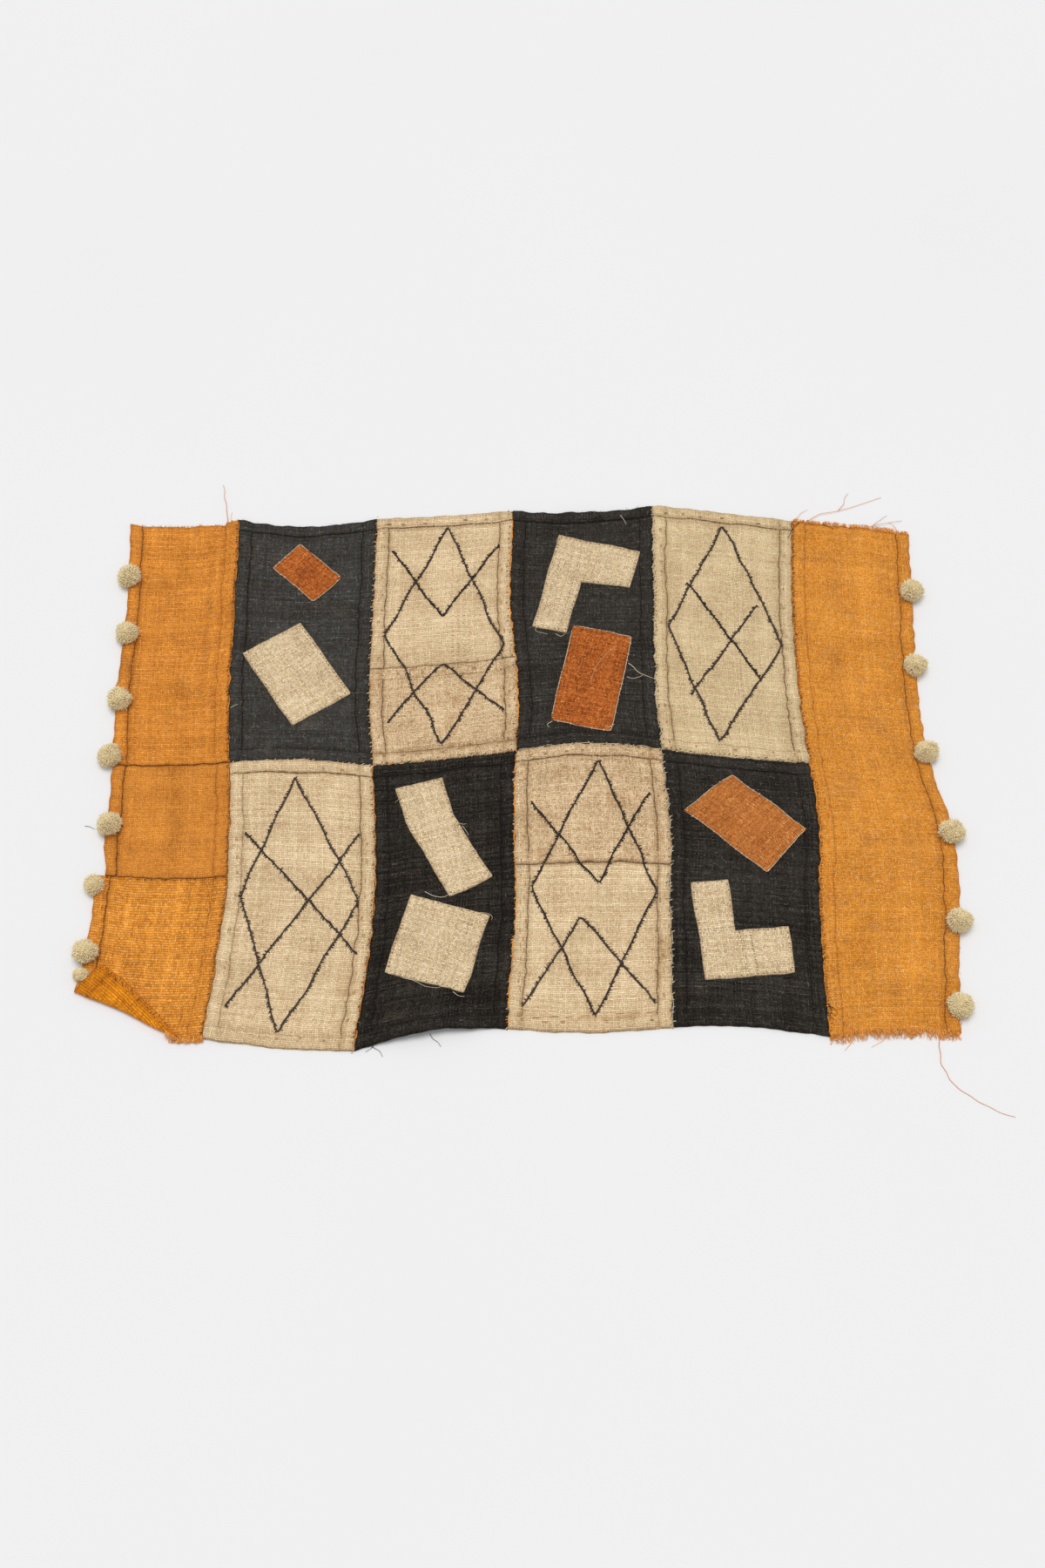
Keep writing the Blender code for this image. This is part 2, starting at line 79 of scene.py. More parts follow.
# Level seams and outer edges: their y where they meet each upright seam, and at the middle of each column
BOTTOM, MIDDLE, TOP = 0, 1, 2
CORNER_HEIGHTS = {
    BOTTOM: (-201, -207, -216, -199, -198, -206, -203),
    MIDDLE: (15.5, 18, 15, 28, 29, 17, 10),
    TOP: (239, 243, 244, 252, 257, 241, 228),
}
MIDWAY_HEIGHTS = {
    BOTTOM: (-208, -214, -203, -202, -198, -201),
    MIDDLE: (15.5, 20, 20.5, 35, 22, 13),
    TOP: (236, 236.5, 247, 249.5, 250, 236),
}
LOWER_CROSS_SEAM = 0.57
UPPER_CROSS_SEAM = 1.375

# Sewn pieces: name, column, from level, to level, turned edges, cloth
PANELS = (
    ("border_left_bottom", 0, 0, LOWER_CROSS_SEAM, "left right", "orange_bright"),
    ("border_left_middle", 0, LOWER_CROSS_SEAM, 1, "left right", "orange_plain"),
    ("border_left_top", 0, 1, 2, "left right", "orange_brown"),
    ("panel_cream_bottom_left", 1, 0, 1, "left right bottom top", "cream"),
    ("panel_black_top_left", 1, 1, 2, "left right bottom top", "black"),
    ("panel_black_bottom_left", 2, 0, 1, "left right bottom top", "black"),
    ("panel_cream_cross_top", 2, 1, UPPER_CROSS_SEAM, "left right bottom top", "cream_pink"),
    ("panel_cream_top_left", 2, UPPER_CROSS_SEAM, 2, "left right top", "cream"),
    ("panel_cream_bottom_right", 3, 0, LOWER_CROSS_SEAM, "left right bottom", "cream"),
    ("panel_cream_cross_bottom", 3, LOWER_CROSS_SEAM, 1, "left right bottom top", "cream_pink"),
    ("panel_black_top_right", 3, 1, 2, "left right bottom top", "black"),
    ("panel_black_bottom_right", 4, 0, 1, "left right bottom top", "black"),
    ("panel_cream_top_right", 4, 1, 2, "left right bottom top", "cream_green"),
    ("border_right", 5, 0, 2, "left right", "orange_yellow"),
)

# How dark the line is where a piece meets its neighbour: panel and side. The line is painted shade in the
# gap between the rolled edges, with the seam's own darkness. The others take the plain value.
PLAIN_JOIN = 0.3
JOINS = {
    ("border_left_top", "bottom"): 1, ("border_left_middle", "top"): 1,
    ("border_left_middle", "bottom"): 0.7, ("panel_cream_top_left", "bottom"): 0.5,
    ("panel_cream_cross_top", "top"): 0.5, ("panel_cream_cross_bottom", "bottom"): 0.5,
    ("panel_cream_bottom_right", "top"): 0.5,
}

# How dark the line at a hem's end is, for the sides that differ from the rest of their cloth. The line is
# painted shadow under the folded end, with some staining.
HEM_TONES = {
    ("border_left_top", "right"): 0.35, ("border_left_middle", "right"): 0.4,
    ("border_left_bottom", "right"): 0.45, ("border_right", "left"): 0.3, ("border_right", "right"): 0.8,
    ("panel_cream_cross_top", "top"): 0.08, ("panel_cream_cross_bottom", "bottom"): 0.08,
    ("panel_cream_bottom_right", "bottom"): 0.2, ("panel_cream_bottom_left", "bottom"): 0.3,
    ("panel_cream_bottom_left", "left"): 0.5, ("panel_cream_top_right", "bottom"): 0.35,
}

# Bands of paler or darker threads up a piece: distance from its left edge at the bottom and at the top,
# half width and tone
STREAKS = {
    "border_left_bottom": (
        (24, 26, 3.2, 0.3), (46, 46, 1.3, 0.2), (60, 62, 3, 0.22), (78, 78, 1.2, -0.15),
    ),
    "border_left_middle": (
        (52, 50, 4, -0.08), (30, 30, 6, 0.06),
    ),
    "border_left_top": (
        (50, 44, 5.5, -0.12), (20, 20, 4, 0.06), (70, 70, 3, 0.06),
    ),
    "border_right": (
        (40, 44, 5, 0.06), (62, 58, 8, 0.07), (26, 26, 3, -0.05), (80, 76, 3, -0.05),
    ),
    "panel_cream_cross_top": (
        (25, 25, 2.5, -0.08), (42, 42, 3, 0.06), (63, 63, 2.5, -0.08), (85, 85, 2, -0.06),
    ),
    "panel_cream_cross_bottom": (
        (22, 22, 3, -0.08), (55, 55, 2.5, -0.07), (72, 72, 3.5, 0.06), (90, 90, 2, -0.08),
    ),
}

# How much paler or darker a whole piece is than its cloth
PANEL_TONES = {
    "panel_black_top_left": 0.38, "panel_black_bottom_left": -0.36, "panel_black_bottom_right": -0.17,
}

# Stained places: x, y, half length, half width, turn in degrees, strength
STAINS = (
    (100, -150, 34, 7, 88, 0.9), (99, -70, 30, 6, 88, 0.6), (60, -192, 48, 6, 3, 0.7),
    (12, -186, 16, 7, 0, 0.5), (-208, -186, 12, 9, 10, 0.7), (-293, 208, 6, 4, 0, 0.5),
    (-262, -52, 16, 10, 20, 0.35), (-285, 150, 34, 12, 80, 0.25), (-112, 96, 22, 7, 85, 0.45),
    (-60, 70, 40, 22, 20, 0.3), (252, 186, 44, 16, 82, 0.4), (262, 60, 30, 16, 60, 0.3),
    (286, -60, 50, 18, 85, 0.3), (-172, 190, 12, 9, 10, 0.8), (-4, 60, 30, 5, 88, 0.4),
    (120, 120, 50, 5, 92, 0.4), (30, -80, 60, 9, 85, 0.3),
)

# Where a panel's left edge draws in towards its lower end: up to this level, and by how much
SETBACKS = {"border_left_middle": (0.68, 5.5)}
SETBACK_REACH = 20

# Places where the cloth stands off the surface: x, y, half length, half width, turn in degrees, height
LIFTS = (
    (-64, -206, 56, 22, 3, 6.5), (-262, -60, 34, 10, 35, 1.2), (50, 248, 46, 14, -4, 2),
    (-170, 20, 44, 12, -6, 1), (266, -70, 40, 14, 70, 1.4),
)
# Soft creases, with the same columns
CREASES = (
    (-246, -64, 15, 2.4, 33, 0.9), (-238, -70, 13, 2.2, 40, 0.8), (-290, -28, 18, 3, -20, 0.5),
    (258, 80, 16, 3, -80, 0.6), (292, 60, 22, 3, 75, 0.6), (300, 20, 20, 3, 95, 0.6),
    (290, -30, 24, 3.5, 80, 0.6), (-60, -196, 30, 3, -8, 0.9), (160, -190, 26, 4, 6, 0.8),
    (-300, 150, 16, 3, 60, 0.5), (-290, 110, 20, 3, 10, 0.5), (-302, 64, 14, 3, -30, 0.5),
    (40, -10, 30, 4, 20, 0.4), (160, 60, 34, 5, 75, 0.4), (-60, 170, 34, 5, -70, 0.4),
)
WAVE_HEIGHT = 0.8
WAVE_LENGTH = 62
CRUMPLE_HEIGHT = 0.22
CRUMPLE_LENGTH = 24

# The corner that is folded over: the flat piece beyond this line wraps round a bend
FOLDED_PANEL = "border_left_bottom"
FOLD_FROM = (-320.0, -169.9)
FOLD_TO = (-255.7, -199.6)
FOLD_RADIUS = 2.0
FLAP_DROOP = 0.05

LEFT_EDGE, RIGHT_EDGE = 0, 6

# Pompoms: the cloth's edge that they sit on, y, diameter, how far outside the edge their middle is
POMPOMS = (
    (LEFT_EDGE, 185, 18.5, -1),
    (LEFT_EDGE, 132, 18, -4),
    (LEFT_EDGE, 71, 18.5, -4),
    (LEFT_EDGE, 22, 18, 2),
    (LEFT_EDGE, -37, 18.5, -2.5),
    (LEFT_EDGE, -87, 15, 1),
    (LEFT_EDGE, -141, 18.5, -1),
    (LEFT_EDGE, -158, 11, -2),
    (RIGHT_EDGE, 171, 18.5, -1),
    (RIGHT_EDGE, 102, 18, -1),
    (RIGHT_EDGE, 25, 18.5, -2),
    (RIGHT_EDGE, -43, 18.5, -2),
    (RIGHT_EDGE, -117, 18.5, -1),
    (RIGHT_EDGE, -183, 18.5, 0),
)
# Shape of a pompom as shares of its diameter, and the step along its edge that gives its outward side
POMPOM_MIDDLE = 0.33
POMPOM_HALF_HEIGHT = 0.40
POMPOM_EDGE_STEP = 0.03
# Cut ends of a full-sized pompom: count, thickness, core under them and uneven lengths; then the finer
# fluff and the core's rings
FULL_POMPOM = 18.5
YARN_ENDS = 2150
YARN_RADIUS = 0.44
YARN_CORE = 0.8
YARN_CLUMP = 0.09
YARN_REACH = 0.95
YARN_LUMPS = 0.13
YARN_SCATTER = 0.03
YARN_BEND = 0.06
YARN_OVER_CORE = 0.08
YARN_CUT = (0.88, 1.02)
YARN_SHARES = (0.84, 1.0)
YARN_TAPER = (1.0, 0.75)
FLUFF_ENDS = 320
FLUFF_RADIUS = 0.07
FLUFF_REACH = (1.0, 1.13)
FLUFF_BEND = 0.12
FLUFF_SHARES = (0.86, 0.95, 1)
FLUFF_BENDS = (0, 0.5, 1)
CORE_SIDES = 16
CORE_RINGS = 9
CORE_TOP = 0.98
CORE_SHADE = 0.7

# Frayed raw ends: name, column, edge, from and to as shares of the column, fibres, longest fibre
FRAYS = (
    ("fray_left_top", 0, TOP, 0.02, 0.99, 60, 1.8),
    ("fray_left_bottom", 0, BOTTOM, 0.74, 0.99, 60, 2.4),
    ("fray_right_top", 5, TOP, 0.01, 0.99, 210, 4.0),
    ("fray_right_bottom", 5, BOTTOM, 0.01, 0.99, 260, 6.5),
)

# How many curled fibres a raw end has
CURLS = {"fray_left_bottom": 190, "fray_right_bottom": 120, "fray_right_top": 60}

# Loose threads of each frayed end: radius, and course as x, y and height
LOOSE_THREADS = {
    "fray_left_top": (
        (0.28, ((-238, 239, 1.5), (-240, 250, 2.5), (-242, 262, 2), (-245, 279, 0.4))),
        (0.2, ((-236, 240, 1.4), (-237, 246, 2), (-235, 252, 0.5))),
    ),
    "fray_right_top": (
        (0.26, ((229, 239, 1.4), (238, 248, 1.5), (257, 252, 1.2), (275, 258.5, 1), (294, 266.5, 0.4))),
        (0.22, ((257, 252, 1.2), (262, 261, 1), (266, 271, 0.4))),
        (0.2, ((220, 243, 1.6), (226, 250, 1.4), (233, 254, 0.5))),
        (0.24, ((280, 236, 1.4), (292, 239, 2), (301, 241, 1.5), (309, 243, 0.4))),
        (0.2, ((283, 236, 1.4), (289, 243, 1.6), (297, 248, 0.4))),
        (0.22, ((303, 231, 1.4), (300, 238, 1.8), (297, 241, 0.5))),
    ),
    "fray_right_bottom": (
        (0.26, ((237, -204, 1.4), (233, -211, 1), (229, -216, 0.4))),
        (0.2, ((263, -203, 1.4), (255, -209, 1), (247, -214, 0.4))),
        (
            0.26,
            (
                (297, -203, 1.4), (296.5, -216, 0.8), (296, -224, 0.4), (300, -236.5, 0.4),
                (308, -245.5, 0.4), (321, -254.5, 0.4), (336, -263, 0.4), (345, -265.5, 0.4),
            ),
        ),
        (0.22, ((313, -196, 1.5), (316, -190, 1.2), (317, -184, 0.4))),
    ),
}


def rectangle(width, height, longer_below=0):
    """Cross lines of a plain patch about its middle, its lower side longer at the left."""
    across, along = width / 2, height / 2
    return (((-across - longer_below, -along), (across, -along)), ((-across, along), (across, along)))


def angle_piece(width, arm, height, leg, flare=0):
    """Cross lines of an L about the middle of its box, from its leg's end to its arm's end."""
    left, right, low, high = -width / 2, width / 2, -height / 2, height / 2
    return (
        ((left, low), (left + leg, low)),
        ((left, high), (left + leg, high - arm - flare)),
        ((right, high), (right, high - arm)),
    )


def bent_strip(width, upper, lower, bend):
    """Cross lines of a strip that turns by an angle at the middle, its upper end level."""
    side, turn = width / 2, math.radians(bend)
    mitre = side * math.tan(turn / 2)
    end_x, end_y = math.sin(turn) * lower, -math.cos(turn) * lower
    across_x, across_y = math.cos(turn) * side, math.sin(turn) * side
    return (
        ((end_x - across_x, end_y - across_y), (end_x + across_x, end_y + across_y)),
        ((-side, mitre), (side, -mitre)),
        ((-side, upper), (side, upper)),
    )


# Patches on the black panels: name, panel, x, y, turn in degrees, cross lines, cloth, threads' turn
PATCHES = (
    ("patch_rust_top_left", "panel_black_top_left", -172, 191, -43, rectangle(48, 32), "rust", 90),
    ("patch_cream_top_left", "panel_black_top_left", -176, 97, -57, rectangle(78, 53), "cream_pale", 90),
    (
        "patch_cream_bent", "panel_black_bottom_left", -70.5, -29, 15,
        bent_strip(36, 30, 67, 14), "cream_pale", 0,
    ),
    ("patch_cream_square", "panel_black_bottom_left", -62, -133, -16, rectangle(61, 65), "cream_pale", 0),
    (
        "patch_cream_angle_top", "panel_black_top_right", 51, 176, -14,
        angle_piece(67, 36, 90, 28, flare=5), "cream_pale", 0,
    ),
    ("patch_rust_top_right", "panel_black_top_right", 54, 93, -12, rectangle(48, 88), "rust", 0),
    (
        "patch_rust_bottom_right", "panel_black_bottom_right", 170, -34, -41,
        rectangle(71, 48, longer_below=9), "rust_light", 90,
    ),
    (
        "patch_cream_angle_bottom", "panel_black_bottom_right", 161, -120, 5,
        angle_piece(66, 37, 78, 27), "cream_pale", 0,
    ),
)
MIRRORED_PATCH = "patch_cream_angle_bottom"

# Embroidered lines of each motif: corners of a course, whether it closes, and the side of its barbs
DIAMONDS = {
    "embroidery_upper_left": (
        (((-60, 235), (-108, 133), (-61, 33), (-16, 123)), True, -1),
        (((-104, 212), (-64, 149), (-19, 217)), False, 1),
        (((-104, 53), (-63, 106), (-14, 64)), False, -1),
    ),
    "embroidery_lower_left": (
        (((-172, 5), (-208, -96), (-174, -203), (-120, -99)), True, -1),
        (((-208, -42), (-157, -98), (-120, -142)), False, -1),
        (((-122, -44), (-157, -98), (-213, -183)), False, 1),
    ),
    "embroidery_lower_right": (
        (((58, 20), (6, -87), (52, -190), (99, -91)), True, -1),
        (((7, -16), (56, -84), (95, -7)), False, -1), (((1, -182), (43, -111), (95, -179)), False, 1),
    ),
    "embroidery_upper_right": (
        (((162, 237), (115, 142), (150, 36), (204, 123)), True, -1),
        (((131, 182), (164, 128), (185, 91)), False, 1), (((185, 160), (164, 128), (130, 77)), False, -1),
    ),
}
LINE_RADIUS = 0.68
BARB_PITCH = 1.6
BARB_LENGTH = 2.3
BARB_RADIUS = 0.46

# Cloths: colours of the threads, between them (painted shade in the gaps), of flecks, of stains and of
# the hems' lines and edges (painted shadow with some staining); the pitch of the upright and of the level
# threads; how far a level thread stays on top; how strongly threads, crossings, broad patches, flecks,
# stains and hems' lines differ; and how far the holes between threads spread
Cloth = namedtuple(
    "Cloth",
    "base between fleck stain line warp weft cover threads crossings patches flecks stains lines holes",
)
CLOTHS = {
    "orange_bright": Cloth(
        (0.795, 0.297, 0.036), (0.26, 0.06, 0.003), (1, 0.62, 0.2), (0.5, 0.15, 0.02),
        (0.12, 0.035, 0.008), 1.4, 1.9, 0.5, 0.42, 0.4, 0.2, 0.22, 0.2, 1, 0.5,
    ),
    "orange_plain": Cloth(
        (0.811, 0.304, 0.044), (0.24, 0.06, 0.005), (0.5, 0.15, 0.02), (0.4, 0.12, 0.02),
        (0.1, 0.03, 0.008), 1.05, 1.2, 0.3, 0.36, 0.34, 0.28, 0.3, 0.35, 1, 0.4,
    ),
    "orange_brown": Cloth(
        (0.783, 0.279, 0.034), (0.22, 0.055, 0.004), (1, 0.52, 0.16), (0.42, 0.14, 0.03),
        (0.13, 0.04, 0.01), 1.3, 1.35, 0.6, 0.5, 0.35, 0.26, 0.28, 0.35, 0.9, 0.46,
    ),
    "orange_yellow": Cloth(
        (0.842, 0.32, 0.036), (0.3, 0.085, 0.008), (1, 0.66, 0.3), (0.44, 0.17, 0.06), (0.1, 0.03, 0.01),
        1.05, 1.15, 0.25, 0.4, 0.4, 0.24, 0.3, 0.35, 1.1, 0.4,
    ),
    "black": Cloth(
        (0.033, 0.028, 0.022), (0.012, 0.01, 0.008), (0.15, 0.13, 0.105), (0.08, 0.062, 0.044),
        (0.005, 0.004, 0.004), 1.1, 1.3, 0.6, 1.35, 0.58, 0.5, 0.34, 0.4, 1, 0.44,
    ),
    "cream": Cloth(
        (0.861, 0.653, 0.392), (0.36, 0.21, 0.08), (0.56, 0.35, 0.16), (0.56, 0.34, 0.15),
        (0.13, 0.07, 0.03), 1.15, 1.4, 0.4, 0.46, 0.28, 0.22, 0.4, 0.4, 1, 0.38,
    ),
    "cream_pink": Cloth(
        (0.824, 0.614, 0.368), (0.35, 0.19, 0.07), (0.6, 0.33, 0.13), (0.54, 0.29, 0.12),
        (0.14, 0.065, 0.028), 1.15, 1.25, 0.3, 0.46, 0.4, 0.26, 0.8, 0.5, 1, 0.42,
    ),
    "cream_green": Cloth(
        (0.838, 0.643, 0.376), (0.36, 0.225, 0.085), (0.56, 0.39, 0.18), (0.56, 0.38, 0.18),
        (0.14, 0.08, 0.034), 1.1, 1.2, 0.2, 0.42, 0.28, 0.22, 0.36, 0.3, 1, 0.42,
    ),
    "cream_pale": Cloth(
        (0.835, 0.648, 0.4), (0.37, 0.24, 0.105), (0.6, 0.43, 0.23), (0.6, 0.42, 0.22), (0.12, 0.08, 0.05),
        1.15, 1.3, 0.3, 0.46, 0.44, 0.18, 0.36, 0.25, 0.5, 0.36,
    ),
    "rust": Cloth(
        (0.488, 0.122, 0.018), (0.085, 0.014, 0.002), (0.8, 0.28, 0.06), (0.22, 0.04, 0.008),
        (0.1, 0.02, 0.005), 1.15, 1.4, 0.45, 0.7, 0.72, 0.25, 0.42, 0.4, 0.6, 0.56,
    ),
    "rust_light": Cloth(
        (0.551, 0.175, 0.034), (0.11, 0.022, 0.004), (0.9, 0.42, 0.14), (0.36, 0.09, 0.02),
        (0.12, 0.03, 0.008), 1.15, 1.35, 0.6, 0.51, 0.47, 0.18, 0.42, 0.25, 0.6, 0.57,
    ),
}

# Threads: darkest and lightest colour, roughness, and the record's slot. Single threads lie between the
# two colours, and each end of pompom yarn runs from the first at its root to the second at its tip;
# the darker root is partly the yarn's own tone and partly painted shade deep in the ball.
THREADS = {
    "thread_cream": ((0.62, 0.50, 0.32), (0.90, 0.82, 0.64), 0.75, "cream_pale"),
    "thread_tan": ((0.34, 0.18, 0.07), (0.52, 0.32, 0.14), 0.8, "cream"),
    "thread_orange": ((0.72, 0.24, 0.02), (1.0, 0.42, 0.06), 0.7, "orange_bright"),
    "thread_brown": ((0.06, 0.022, 0.010), (0.14, 0.055, 0.022), 0.8, "orange_brown"),
    "thread_rust": ((0.26, 0.075, 0.010), (0.46, 0.15, 0.022), 0.8, "orange_brown"),
    "thread_black": ((0.026, 0.018, 0.014), (0.080, 0.056, 0.042), 0.85, "black"),
    "fibre_orange": ((0.62, 0.22, 0.03), (1.0, 0.46, 0.10), 0.8, "orange_yellow"),
    "fibre_pale": ((0.62, 0.44, 0.24), (0.92, 0.74, 0.47), 0.8, "cream"),
    "fibre_black": ((0.03, 0.026, 0.023), (0.13, 0.115, 0.10), 0.85, "black"),
    "pompom_yarn": ((1.0, 0.74, 0.40), (1.0, 0.90, 0.58), 0.9, "pompom_yarn"),
}

# Camera, in millimetres in the solids' frame
CAMERA_PLACE = (-9.6, -796.0, 1447.8)
CAMERA_AIM = (-9.6, -6.6, 0.0)
CAMERA_LENS = 50
CAMERA_SENSOR_HEIGHT = 36


# Small helpers

def side_by_side(*values):
    """Coordinates gathered on a last axis."""
    return np.stack(values, axis=-1)


def unit(vectors):
    return vectors / np.maximum(np.linalg.norm(vectors, axis=-1, keepdims=True), 1e-9)


def fading(distance, reach):
    """1 at no distance, falling to 0 at the reach and beyond."""
    return np.clip(1 - distance / reach, 0, 1)


def grid_quads(index):
    """Faces between neighbours in a grid of point numbers."""
    return side_by_side(index[:-1, :-1], index[:-1, 1:], index[1:, 1:], index[1:, :-1]).reshape(-1, 4)


# Layout of the cloth

def smooth_curve(stations, values, at):
    """Values at some heights on the smooth curve through values at falling stations."""
    stations, values = np.array(stations[::-1], float), np.array(values[::-1], float)
    at = np.clip(at, stations[0], stations[-1])
    order = np.arange(len(stations))
    before, after = np.maximum(order - 1, 0), np.minimum(order + 1, order[-1])
    slopes = (values[after] - values[before]) / (stations[after] - stations[before])
    i = np.clip(np.searchsorted(stations, at) - 1, 0, order[-1] - 1)
    span = stations[i + 1] - stations[i]
    t = (at - stations[i]) / span
    return (
        (2 * t**3 - 3 * t**2 + 1) * values[i] + (t**3 - 2 * t**2 + t) * span * slopes[i]
        + (3 * t**2 - 2 * t**3) * values[i + 1] + (t**3 - t**2) * span * slopes[i + 1]
    )


def ripples(x, y, length, seed, waves=6):
    """Uneven height, mostly from -1 to 1: waves of like length that run in mixed directions."""
    chance = np.random.default_rng(seed)
    total = np.zeros(np.broadcast(x, y).shape)
    for _ in range(waves):
        heading, stretch, phase = chance.uniform((0, 0.7, 0), (math.pi, 1.4, 2 * math.pi))
        along = x * math.cos(heading) + y * math.sin(heading)
        total = total + np.sin(along * 2 * math.pi / (length * stretch) + phase)
    return total / math.sqrt(waves)


def line_height(line, column, u):
    left, right = CORNER_HEIGHTS[line][column], CORNER_HEIGHTS[line][column + 1]
    midway = MIDWAY_HEIGHTS[line][column]
    return left * (1 - u) * (1 - 2 * u) + 4 * midway * u * (1 - u) + right * u * (2 * u - 1)


def height_at(column, u, level):
    low, middle, high = (line_height(line, column, u) for line in (BOTTOM, MIDDLE, TOP))
    return np.where(level <= 1, low + (middle - low) * level, middle + (high - middle) * (level - 1))


def seam_height(seam, level):
    lines = (BOTTOM, MIDDLE, TOP)
    return np.interp(level, lines, [CORNER_HEIGHTS[line][seam] for line in lines])


def seam_x(seam, level):
    y = seam_height(seam, level)
    waver = SEAM_WAVER * ripples(0.0, y, SEAM_WAVER_LENGTH, seam)
    return smooth_curve(STATIONS, SEAMS[seam], y) + waver


def panel_size(column, start, end):
    """A piece's width between its seams at mid height, and its height along its left seam."""
    middle = (start + end) / 2
    width = float(seam_x(column + 1, middle) - seam_x(column, middle))
    return width, float(seam_height(column, end) - seam_height(column, start))


def drawn_in(name, start, level):
    """How far a piece's left edge draws in at some levels."""
    reach, most = SETBACKS.get(name, (start + 1, 0))
    return most * np.clip((reach - level) / (reach - start), 0, 1)


def place(column, u, level):
    """x and y of points given as shares of the way across a column and as levels."""
    u, level = np.broadcast_arrays(np.asarray(u, float), np.asarray(level, float))
    left, right = seam_x(column, level), seam_x(column + 1, level)
    return left + (right - left) * u, height_at(column, u, level)


def hill(x, y, rows):
    """Height of soft humps or creases at some points, the highest one where they meet."""
    highest = np.zeros(np.shape(x))
    for middle_x, middle_y, half_length, half_width, turn, height in rows:
        angle = math.radians(turn)
        dx, dy = x - middle_x, y - middle_y
        along = (dx * math.cos(angle) + dy * math.sin(angle)) / half_length
        across = (dy * math.cos(angle) - dx * math.sin(angle)) / half_width
        rise = height * np.clip(1 - along**2 - across**2, 0, None) ** 2
        highest = np.maximum(highest, rise)
    return highest


def lift_at(x, y):
    """How far the underside of the cloth stands off the surface."""
    waves = WAVE_HEIGHT * np.clip(ripples(x, y, WAVE_LENGTH, 5) - 0.2, 0, None)
    crumple = CRUMPLE_HEIGHT * np.clip(ripples(x, y, CRUMPLE_LENGTH, 6) + 0.4, 0, None)
    return hill(x, y, LIFTS) + hill(x, y, CREASES) + waves + crumple


# Meshes

def add_object(name, points, faces, material, layers=None, marks=None):
    """An object from points in millimetres, with pattern coordinates by point and marks by point."""
    mesh = bpy.data.meshes.new(name)
    above = np.maximum(points, (-np.inf, -np.inf, 0))
    mesh.from_pydata(((above - (*ORIGIN, 0)) * MM).tolist(), [], faces)
    corners = np.empty(len(mesh.loops), np.int32)
    mesh.loops.foreach_get("vertex_index", corners)
    for layer_name, values in (layers or {}).items():
        layer = mesh.uv_layers.new(name=layer_name)
        layer.data.foreach_set("uv", values[corners].astype(np.float32).ravel())
    for mark_name, values in (marks or {}).items():
        mark = mesh.attributes.new(mark_name, "FLOAT", "POINT")
        mark.data.foreach_set("value", values.astype(np.float32).ravel())
    mesh.materials.append(material)
    mesh.shade_smooth()
    obj = bpy.data.objects.new(name, mesh)
    bpy.context.scene.collection.objects.link(obj)
    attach(obj, "root")
    return obj


def add_sheet(name, cloth, top, bottom, weave, marks, line_below=1.0, flipped=False):
    """A closed woven sheet in place of its solid, from its upper and lower points and its upper marks."""
    faces = sheet_faces(*top.shape[:2])
    marks = {mark: np.tile(values.ravel(), 2) for mark, values in marks.items()}
    points_above = weave.shape[0] * weave.shape[1]
    marks["line"][points_above:] *= line_below
    marks["underside"] = np.repeat((0.0, 1.0), points_above)
    obj = add_object(
        name + "_cloth",
        np.concatenate([top.reshape(-1, 3), bottom.reshape(-1, 3)]),
        (faces[:, ::-1] if flipped else faces).tolist(),
        materials[cloth],
        {"weave": np.tile(weave.reshape(-1, 2), (2, 1))},
        marks,
    )
    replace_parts(obj, name)
    return obj


def sheet_faces(rows, columns):
    """Faces of a closed sheet whose upper points come row by row, and then its lower points."""
    index = np.arange(rows * columns).reshape(rows, columns)
    upper = grid_quads(index)
    lower = upper[:, ::-1] + rows * columns
    ring = np.concatenate([index[0, :-1], index[:-1, -1], index[-1, :0:-1], index[:0:-1, 0]])
    following = np.roll(ring, -1)
    rim = side_by_side(ring, ring + rows * columns, following + rows * columns, following)
    return np.concatenate([upper, lower, rim])


# Lines of points beside an edge, how dark the cloth is on each (painted shade where the edge rolls down),
# and how its thickness rounds off there
EDGE_LINES = (0, 0.35, 0.9, 2.0)
EDGE_DARKNESS = (1, 0.8, 0.25, 0)
EDGE_ROUND = 0.9
EDGE_FOOT = 0.35
# Painted shade that spreads in from every edge
EDGE_PAINTED_SHADE = 0.8

# Lines of points beside a hem's end, with the hem's rise and darkness on each (the darkness is painted
# shadow under the folded end, with some staining), and its crown
HEM_LINES = (-1.5, -0.5, -0.1, 0.3, 0.65, 2.2)
HEM_HEIGHTS = (1, 1.1, 0.9, -0.5, -0.3, 0)
HEM_DARKNESS = (0, 0, 0.8, 1, 0, 0)
CROWN_LINES = (0, 1.5, 4.5, 8.0, 10.0)
CROWN_SHAPE = (0, 0.6, 1, 0.5, 0)
# How far painted shade spreads from a hem's end and from an edge
PAINTED_SHADE_REACH = 3.5
HEM_OVER_HEM = 0.35
HEM_WANDER = 0.5
HEM_WANDER_LENGTH = 40
HEM_WOBBLE = 0.2
HEM_WOBBLE_LENGTH = 9
PUCKER_HEIGHT = 0.2
PUCKER_LENGTH = 7
PUCKER_LEAST = 0.3
STREAK_LENGTH = 30
STREAK_EVENNESS = 0.7
STREAK_CHANGE = 0.4
BULGE = 0.42
BULGE_LENGTH = 15
BULGE_REACH = 5
UNDERSIDE_LINE = 0.2

# Patches: grid, edge waver, puckers, and the dark line and painted shade beside the edge
PATCH_GRID_STEP = GRID_STEP / 1.5
WAVER_REACH = 8
WAVER_WAVES = ((0.5, 44, 0), (0.13, 9, 200))
PATCH_PUCKER = 0.13
PATCH_PUCKER_LENGTH = 11
PATCH_LINE = 0.45
PATCH_PAINTED_SHADE = 0.5
PATCH_PAINTED_SHADE_REACH = 2.5

# The step in the left border's top edge, beside its right hem
TAB = "border_left_top"
TAB_DROP = 3.6
TAB_LINES = (0, 0.7, 12)
TAB_SHARES = (0, 1, 0)


